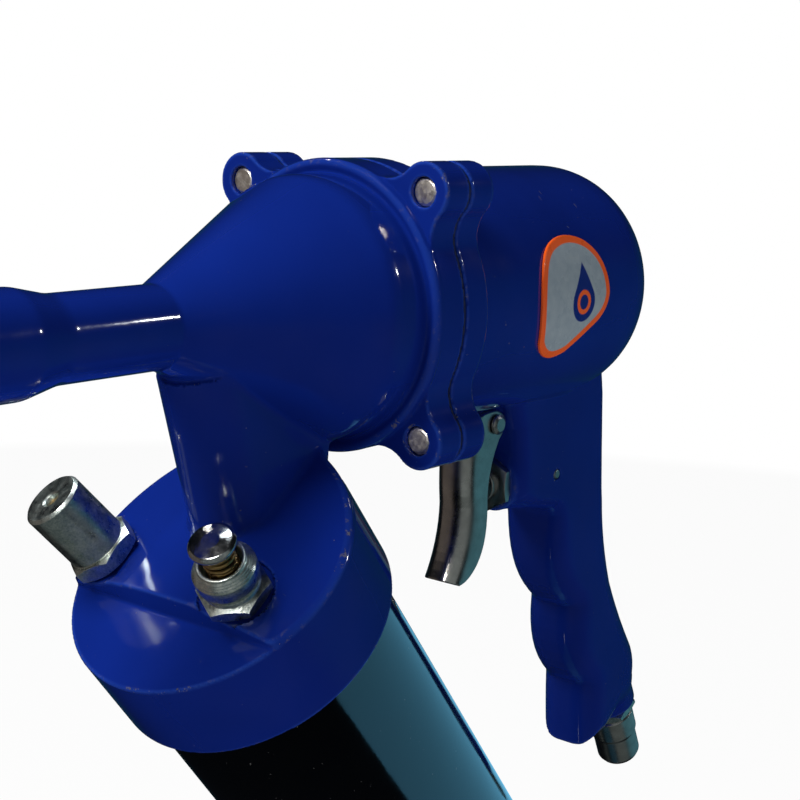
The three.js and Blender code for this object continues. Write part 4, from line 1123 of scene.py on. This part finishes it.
def pipe_mesh(count=48):
    """The outlet pipe: a bent tube whose ends show its bore."""
    path = [[0, y, 0] for y in np.linspace(-101.5, PIPE_BEND_START, 12)]
    path += [pipe_bend(a) for a in np.linspace(0, PIPE_ANGLE, 25)[1:]]
    path += [bend_end + t * pipe_dir for t in np.linspace(0, PIPE_STRAIGHT, 12)[1:]]
    path = np.array(path)
    ahead = headings(path)
    side = np.array([1.0, 0, 0])
    rings = []
    for radius, order in zip(PIPE_RADII, (range(len(path)), range(len(path) - 1, -1, -1))):
        for i in order:
            up = np.cross(ahead[i], side)
            rings.append([path[i] + u * side + v * up for u, v in circle(radius, count)])
    faces = []
    for ring in range(len(rings)):
        faces += band(ring * count, (ring + 1) % len(rings) * count, count)
    return finished_mesh("outlet_pipe", np.concatenate(rings), faces)


piece("outlet_pipe", pipe_mesh(), "zinc_plate")
nut_end = NOSE_TIP - 0.3
turned(
    "outlet_nut", BODY,
    filleted([[-114, 4.3], [-116, 4.3, 0.2], [-116, 6.2, 0.6], [-114.6, 7, 0.6], [-112, 7]], 3)
    + [[-112, 8.2]] + hexagon_band(-112, nut_end, 17, 0.5)[1:-1] + [[nut_end, 7.9], [nut_end, 4.3]],
    "zinc_plate",
)
turned(
    "coupler_body", COUPLER,
    filleted([[-3, 4.3], [-6, 4.3, 0.2], [-6, 6.4, 0.8], [-4.8, 7, 0.6], [0.5, 7]], 3)
    + hexagon_band(0.5, 8, 14, 0.5)
    + filleted([[8, 5.2], [15.6, 5.2, 0.4], [16, 4.4, 0.2], [16, 2], [2.3, 2], [2.3, 4.3]], 3),
    "zinc_plate",
)


def knurl(height, radius, angle):
    """A straight knurl on the sleeve's grip band."""
    band_share = np.clip((height - 9.9) / 0.5, 0, 1) * np.clip((19.4 - height) / 0.5, 0, 1)
    return radius - 0.22 * band_share * (radius > 7) * (0.5 + 0.5 * np.cos(angle * 42))


turned("coupler_sleeve", COUPLER, loop([
    [14, 5.6], [8.4, 5.5, 0.2], [8.4, 7.2, 0.5], [9.4, 8, 0.3], [9.9, 8], [10.4, 8], [18.9, 8],
    [19.4, 8], [20, 8, 0.8], [27, 6.6, 0.4], [27, 5.7, 0.2], [20, 5.9], [18, 5.5],
], 3), "steel", segments=252, wave=knurl)

JAWS_PROFILE = filleted(
    [[16.4, 0], [16.4, 5.2, 0.3], [27.4, 5.2, 1], [31.5, 5.9, 0.8], [32.6, 5.2, 0.5], [32.6, 0]]
)


def jaws_field(x, y, z):
    """Four spring jaws: a turned nose split by two crossing saw cuts."""
    body = turned_field(COUPLER, JAWS_PROFILE, x, y, z)
    lx, ly, lz = COUPLER.local(x, y, z)
    bore = rod_field(COUPLER, 2, 10, 40, x, y, z)
    lip = join(slab(ly, 30.2, 32.2), np.sqrt(lx**2 + lz**2) - 3.3)
    mouth = both(rod_field(COUPLER, 4, 22.6, 40, x, y, z), -lip)
    cuts = np.maximum(np.minimum(np.abs(lx), np.abs(lz)) - 0.4, 23.5 - ly)
    return without(without(without(body, bore, 0.1), mouth, 0.2), cuts, 0.15)


at = COUPLER.world([0, 24.5, 0])
implicit("coupler_jaws", jaws_field, at - [8, 13, 12], at + [8, 13, 12], 0.3, "steel")


# ---- Grease barrel ------------------------------------------------------------------------------
turned("barrel_tube", BARREL, loop([
    [BARREL_BOTTOM + 10, BARREL_BORE], [BARREL_BOTTOM, BARREL_BORE, 0.2],
    [BARREL_BOTTOM, BARREL_RADIUS, 0.3], [BARREL_TOP, BARREL_RADIUS, 0.3],
    [BARREL_TOP, BARREL_BORE, 0.2],
]), "black_paint", segments=192)
gasket = ring_profile(28.3, 25.4, BARREL_TOP + 0.25, -4.85, 0.4)
turned("barrel_gasket", BARREL, gasket, "rubber", segments=144)
turned("barrel_end_cap", BARREL, loop(along(BARREL_BOTTOM, [
    [-2, 4.6], [-3.2, 4.6, 0.4], [-3.2, 9, 0.8], [-1.6, 10.6, 0.8], [-1.6, 30, 2.2],
    [12.6, 30, 0.6], [13, 29.5, 0.5], [13.4, 30, 0.6], [15, 30, 0.5],
    [15, BARREL_RADIUS + 0.3, 0.2], [-0.3, BARREL_RADIUS + 0.3], [-0.3, 4.6, 0.2],
]), 6), "black_paint", segments=192)
turned("follower_plate", BARREL, loop(along(FOLLOWER_TOP, [
    [-5, 4.3], [-8, 4.3, 0.3], [-8, 20, 1.0], [-4, 20, 0.8], [-4, 26.4, 0.4], [-2.6, 26.4, 0.4],
    [-2.6, 4.3, 0.2],
])), "steel", "follower", 144)
turned("follower_seal", BARREL, loop(along(FOLLOWER_TOP, [
    [-1, 4.6], [-2.3, 4.6, 0.2], [-2.3, 25.6, 0.8], [2.6, 26.9, 0.3], [3, 26, 0.3], [0, 24, 1.2],
    [0, 4.6, 0.2],
])), "rubber", "follower", 144)
nut = nut_profile(FOLLOWER_TOP + 0.3, FOLLOWER_TOP + 3.2, 12.9, 4.3)
turned("follower_nut", BARREL, nut, "zinc_plate", "follower")
rod_end = along(FOLLOWER_TOP, [[3.6, 4, 0.3], [4.2, 3.4, 0.2], [4.2, 0]])
rod = filleted([[ROD_BOTTOM, 0], [ROD_BOTTOM, 4, 0.5]] + rod_end)
turned("follower_rod", BARREL, rod, "zinc_plate", "follower", 64)


# ---- Fittings on the cap ------------------------------------------------------------------------
turned(
    "filler_body", FILLER,
    [[-4, 2.1], [-4, 2.6], [-3.7, 2.9], [0.3, 2.9]]
    + hexagon_band(0.3, 4.1, 14, 0.35)
    + filleted([
        [4.1, 6.9], [4.1, 6.5, 0.2], [18.25, 6.5, 0.2], [18.9, 5.9, 0.15], [18.75, 2.2, 0.3],
        [18.5, 1.7, 0.15], [17.6, 1.5, 0.2], [16.9, 1.5, 0.2],
    ], 4)
    + [[16.5, 2.1]],
    "zinc_plate", segments=120,
)
turned(
    "bleeder_body", BLEEDER,
    [[-6.5, 1.8], [-6.5, 2.6], [-6.1, 2.9], [-1.2, 2.9]]
    + hexagon_band(-1.2, 2.2, 13.3, 0.75)
    + filleted([
        [2.2, 5.9, 0.1], [2.9, 5.7, 0.2], [3.3, 4.9, 0.3], [3.7, 5.0, 0.3], [4.3, 6.3, 0.5],
        [6.2, 6.5, 0.6], [7.5, 6.45, 0.3], [7.9, 6.12, 0.08], [8.05, 6.14, 0.08],
        [8.35, 5.82, 0.08], [8.5, 5.84, 0.08], [8.8, 5.52, 0.08], [8.95, 5.54, 0.08],
        [9.3, 5.15, 0.1], [9.75, 4.95, 0.2], [9.8, 4.4, 0.2], [9.4, 4.2, 0.1], [3.6, 4.2, 0.3],
        [3.6, 1.8],
    ], 3),
    "zinc_plate", segments=120,
)
turned("bleeder_button", BLEEDER, filleted([
    [-5.5, 0], [-5.5, 1.4, 0.3], [14.1, 1.4, 0.3], [14.1, 3.6, 0.3], [14.75, 4.8, 0.25],
    [15.35, 4.8, 0.35], [15.9, 4.1, 0.8], [16.25, 1.8, 2], [16.3, 0],
]), "chrome", "bleeder_button", 72, BUTTON_METAL)


# ---- Air valve ----------------------------------------------------------------------------------
pin_end = TRIGGER_HALF_WIDTH + 0.3
pin_head = [[1.1, 0], [1.2, 1.6, 0.4], [0.6, 2.5, 0.3], [0, 2.5, 0.1], [0, 1.5]]
near_end = [[-pin_end - height, *rest] for height, *rest in pin_head]
pin = filleted(near_end + along(pin_end, pin_head[::-1]))
turned("trigger_pin", across(*TRIGGER_PIVOT), pin, "chrome", segments=48)
gland_end = BOSS_FRONT - 0.3
turned(
    "valve_gland", VALVE,
    filleted([[66, 1.9], [58.6, 1.9, 0.3], [58.6, 4.3, 0.5], [60.3, 4.3]])
    + hexagon_band(60.3, gland_end, 13, 0.6)
    + filleted([[gland_end, 5.5], [69, 5.5, 0.3], [69, 1.9, 0.2], [66, 1.9]], 3)[:-1],
    "chrome",
)
turned("valve_stem", VALVE, filleted([
    [48.2, 0], [48.2, 1.6, 0.7], [73.3, 1.6, 0.2], [73.3, 3.4, 0.2], [75.2, 3.9, 0.3],
    [76, 3.9, 0.3], [76, 1.6, 0.2], [79, 1.6, 0.4], [79, 0],
]), "steel", "valve_stem", 48)
turned("valve_seat", VALVE, ring_profile(5.5, 2.2, 70.6, 73), "brass", segments=48)
turned("valve_o_ring", VALVE, ring_profile(5.3, 2.0, 69.2, 70.3, 0.5), "rubber", segments=48)
pin_face = GRIP_HALF_WIDTH + 0.1
pin = filleted([[6.2, 0], [6.2, 1.3, 0.2], [pin_face, 1.3, 0.6], [pin_face, 0]], 5)
turned("retaining_pin", RETAINING_PIN, pin, "steel", segments=40)
turned(
    "inlet_nipple", INLET,
    filleted([[-6, 2.6], [-12, 2.6, 0.2], [-12, 5.3, 0.6], [1.6, 5.3]], 3)
    + hexagon_band(1.6, 4.2, 14, 0.5)
    + filleted([
        [4.2, 4.2], [12.9, 4.2, 0.4], [12.9, 5.2, 0.2], [14.6, 5.2, 0.4], [14.6, 2.6, 0.3],
        [-6, 2.6],
    ], 3)[:-1],
    "zinc_plate", segments=72,
)
turned("inlet_swivel", INLET, loop([
    [9, 4.5], [4.7, 4.5, 0.2], [4.7, 6, 0.3], [5.4, 6.8, 0.4], [11.8, 6.8, 0.5], [13, 6.2, 0.5],
    [20.6, 6.2, 0.5], [22, 5.4, 0.4], [22, 4.2, 0.2], [15, 4.2], [15, 5.5], [12.7, 5.5],
    [12.7, 4.5],
]), "chrome", "inlet_swivel", 72)


# ---- Badge --------------------------------------------------------------------------------------
def badge_outline():
    """The plate's rounded outline: arcs given by start, pull point and number of steps."""
    arcs = [
        [(46.5, 13.6), (52.8, 15.8), 24], [(59, 13.5), (66.4, 10.4), 24], [(67.2, 1), (66.6, -4), 20],
        [(61.2, -6.7), (56.9, -9.35), 12], [(52.6, -12), (44.6, -15), 24], [(40.4, -9.2), (37.6, 0), 24],
        [(39.8, 6.6), (41.6, 12), 24],
    ]
    line = []
    for (start, pull, steps), following in zip(arcs, arcs[1:] + arcs[:1]):
        line += quadratic(start, pull, following[0], steps)[:-1]
    return np.array(line)


def badge_mesh():
    """A slim printed plate bent round the cylinder, with distances that its print is drawn by."""
    outline = badge_outline()
    middle = np.array([53.0, 0.5])
    # rows: underside, then side, then face from the rim inwards
    shares = np.concatenate([[0.3, 1.0], [1.0, 1.0], 1 - np.linspace(0.008, 1, 90)[:-1]])
    radii = np.full(len(shares), CYLINDER_RADIUS + 0.66)
    radii[:2] = CYLINDER_RADIUS + 0.12
    radii[2:4] = CYLINDER_RADIUS + 0.34, CYLINDER_RADIUS + 0.60
    flat, points = [], []
    for share, radius in zip(shares, radii):
        ring = middle + (outline - middle) * share
        flat.append(ring)
        points.append(np.stack([np.sqrt(radius**2 - ring[:, 1] ** 2), ring[:, 0], ring[:, 1]], 1))
    count, rows = len(outline), len(shares)
    flat = np.concatenate(flat + [middle[None], middle[None]])
    ends = [[math.sqrt(r**2 - middle[1] ** 2), *middle] for r in (radii[0], radii[-1])]
    points = np.concatenate(points + [np.array(ends)])
    faces = []
    for row in range(rows - 1):
        faces += band(row * count, (row + 1) * count, count)
    under, top = rows * count, rows * count + 1
    for i in range(count):
        j = (i + 1) % count
        faces.append((j, i, under))
        faces.append(((rows - 1) * count + i, (rows - 1) * count + j, top))
    mesh = finished_mesh("badge_plate", points, faces, 40)
    drop = badge_drop(flat[:, 0], flat[:, 1])
    centre_distance = np.hypot(flat[:, 0] - DROP[0], flat[:, 1] - DROP[1])
    for name, values in (
        ("rim", np.abs(polygon(flat[:, 0], flat[:, 1], outline))),
        ("drop", drop),
        ("ring", np.abs(centre_distance - 2.3) - 0.55),
    ):
        mesh.attributes.new(name, "FLOAT", "POINT").data.foreach_set("value", values.astype(np.float32))
    return mesh


DROP = (56.0, -0.6)
DROP_RADIUS = 4.6


def badge_drop(y, z):
    """Distance to a grease drop: a disc with a pointed tip."""
    tip = DROP_RADIUS * 2.0
    lean = math.asin(DROP_RADIUS / tip)
    line = [(DROP[0], DROP[1] + tip)]
    for a in np.linspace(math.pi - lean, 2 * math.pi + lean, 60):
        line.append((DROP[0] + DROP_RADIUS * math.cos(a), DROP[1] + DROP_RADIUS * math.sin(a)))
    return polygon(y, z, line)


piece("badge_plate", badge_mesh(), "badge")


# ---- Stage ----------------------------------------------------------------------------------------
def floor_material():
    """A pale floor that fades into the white ground. Mirroring surfaces don't see it."""
    n = Surface("pale_floor")
    tone = n.mix(n.ramp(n.noise(0.01, 2), 0.3, 0.7), (0.80, 0.80, 0.80), (0.84, 0.84, 0.84))
    n.set(Base_Color=tone, Roughness=0.9, Specular_IOR_Level=0.1)
    white = n.new("ShaderNodeEmission")
    seen_directly = n.new("ShaderNodeLightPath").outputs["Is Camera Ray"]
    n.put(white.inputs["Strength"], n.blend(seen_directly, 0.7, 1.0))
    length = n.fill(n.new("ShaderNodeVectorMath", operation="LENGTH"), (n.position,)).outputs["Value"]
    fade = n.most(n.ramp(length, 0.25, 1.1), 0.95)
    n.link(n.shaders(fade, n.shader.outputs[0], white.outputs[0]), n.end)
    return n.owner


floor_mesh = bpy.data.meshes.new("floor")
floor_mesh.from_pydata([(-4, -4, 0), (4, -4, 0), (4, 4, 0), (-4, 4, 0)], [], [(0, 1, 2, 3)])
floor = bpy.data.objects.new("floor", floor_mesh)
floor.location = (0, 0, cad_box[0].z - 0.001)
floor.visible_glossy = False
floor.visible_shadow = False
bpy.context.scene.collection.objects.link(floor)
floor_mesh.materials.append(floor_material())


def make_world():
    """White behind the gun; what its surfaces mirror is a dim room, grey-green behind it."""
    n = Nodes(bpy.data.worlds.new("studio"))
    ray = n.new("ShaderNodeLightPath").outputs
    where = n.new("ShaderNodeTexCoord").outputs["Generated"]
    toward = n.fill(n.new("ShaderNodeSeparateXYZ"), (where,)).outputs
    behind = n.ramp(toward["Y"], 0.12, 0.5, curve="SMOOTHSTEP")
    above = n.ramp(toward["Z"], -0.66, -0.42, curve="SMOOTHSTEP")
    below = n.ramp(toward["Z"], 0.05, 0.35, 1, 0, "SMOOTHSTEP")
    wall = n.times(behind, n.times(above, below))
    mirrored = n.mix(wall, (0.003, 0.004, 0.006), (0.004, 0.022, 0.030))
    room, glossy, white = [
        n.fill(n.new("ShaderNodeBackground"), (colour,)).outputs[0]
        for colour in ((0.10, 0.105, 0.11), mirrored, (1, 1, 1))
    ]
    current = n.shaders(ray["Is Camera Ray"], n.shaders(ray["Is Glossy Ray"], room, glossy), white)
    n.link(current, n.new("ShaderNodeOutputWorld").inputs["Surface"])
    n.owner.cycles.sampling_method = "NONE"
    bpy.context.scene.world = n.owner


make_world()


# ---- Camera ---------------------------------------------------------------------------------------
CAMERA_POINT = np.array([216.3, -243.9, 40.8])
CAMERA_TURN = math.radians(38.68)
CAMERA_DROP = math.radians(10.57)
CAMERA_ROLL = math.radians(1.45)
camera_data = bpy.data.cameras.new("camera")
camera_data.lens = 68.82
camera_data.clip_start = 0.01
camera = bpy.data.objects.new("camera", camera_data)
bpy.context.scene.collection.objects.link(camera)
ahead = Vector((
    -math.sin(CAMERA_TURN) * math.cos(CAMERA_DROP),
    math.cos(CAMERA_TURN) * math.cos(CAMERA_DROP),
    -math.sin(CAMERA_DROP),
))
right = Vector((math.cos(CAMERA_TURN), math.sin(CAMERA_TURN), 0))
up = right.cross(ahead)
rolled_right = right * math.cos(CAMERA_ROLL) + up * math.sin(CAMERA_ROLL)
rolled_up = up * math.cos(CAMERA_ROLL) - right * math.sin(CAMERA_ROLL)
camera.matrix_world = Matrix.Translation(Vector(metres(CAMERA_POINT))) @ Matrix(
    (rolled_right, rolled_up, -ahead)
).transposed().to_4x4()
bpy.context.scene.camera = camera


# ---- Light ----------------------------------------------------------------------------------------
def softbox(name, direction, distance, size, power, colour, height=None):
    """A soft light in this direction from the middle of the gun: round, or a rectangle with a height."""
    light = bpy.data.lights.new(name, "AREA")
    light.shape = "RECTANGLE" if height else "DISK"
    light.size = size
    if height:
        light.size_y = height
    light.energy = power
    light.color = colour
    obj = bpy.data.objects.new(name, light)
    middle = Vector(metres([0, 20, -30]))
    obj.location = middle + Vector(direction).normalized() * distance
    obj.rotation_euler = (middle - obj.location).to_track_quat("-Z", "Y").to_euler()
    obj.visible_camera = False
    bpy.context.scene.collection.objects.link(obj)
    return obj


def light_only(lamp, materials):
    """Lets a lamp shine on the pieces of these materials alone."""
    group = bpy.data.collections.new(lamp.name + "_receivers")
    for obj in bpy.context.scene.objects:
        if obj.type == "MESH" and obj.name.endswith("_look") and obj.data.materials[0] in materials:
            group.objects.link(obj)
    lamp.light_linking.receiver_collection = group


key = softbox("key", (-0.25, -0.57, 0.78), 0.9, 0.5, 9.6, (1.0, 1.0, 0.98))
softbox("upper_left", (-0.61, 0.02, 0.785), 1.1, 0.05, 0.35, (1.0, 0.93, 0.9))
softbox("right_rear", (0.66, 0.63, 0.41), 1.2, 0.07, 0.7, (0.93, 0.97, 1.0))
camera_side = softbox("camera_side", (0.85, -0.40, 0.35), 1.4, 0.5, 0.8, (0.92, 0.98, 1.0))
key.visible_glossy = camera_side.visible_glossy = False
for materials, name, *setting in (
    (METALS, "metal_key", (0.12, -0.75, 0.64), 0.9, 0.22, 6.0, (1.0, 0.97, 0.93)),
    (METALS, "metal_sky", (-0.3, 0.1, 0.95), 1.0, 0.5, 8.0, (0.9, 0.97, 1.0)),
    (METALS, "metal_glow", (-0.62, -0.76, -0.22), 0.8, 1.1, 0.35, (1.0, 0.84, 0.72)),
    (METALS, "metal_front", (0.61, -0.77, 0.18), 0.9, 1.5, 1.2, (0.9, 1.0, 0.97), 1.2),
    (METALS, "metal_wall", (0.61, 0.77, -0.18), 0.8, 1.6, 1.0, (0.3, 0.83, 1.0), 1.0),
    (METALS, "metal_floor", (0.35, -0.3, -0.89), 0.7, 1.4, 0.5, (0.85, 1.0, 0.95)),
    ((BLACK,), "barrel_sky", (0.33, 0.91, -0.26), 0.8, 1.65, 5.6, (0.19, 0.65, 1.0), 1.0),
):
    light_only(softbox(name, *setting), materials)

scene = bpy.context.scene
scene.view_settings.view_transform = "Standard"
scene.view_settings.look = "None"
scene.view_settings.exposure = 0.0
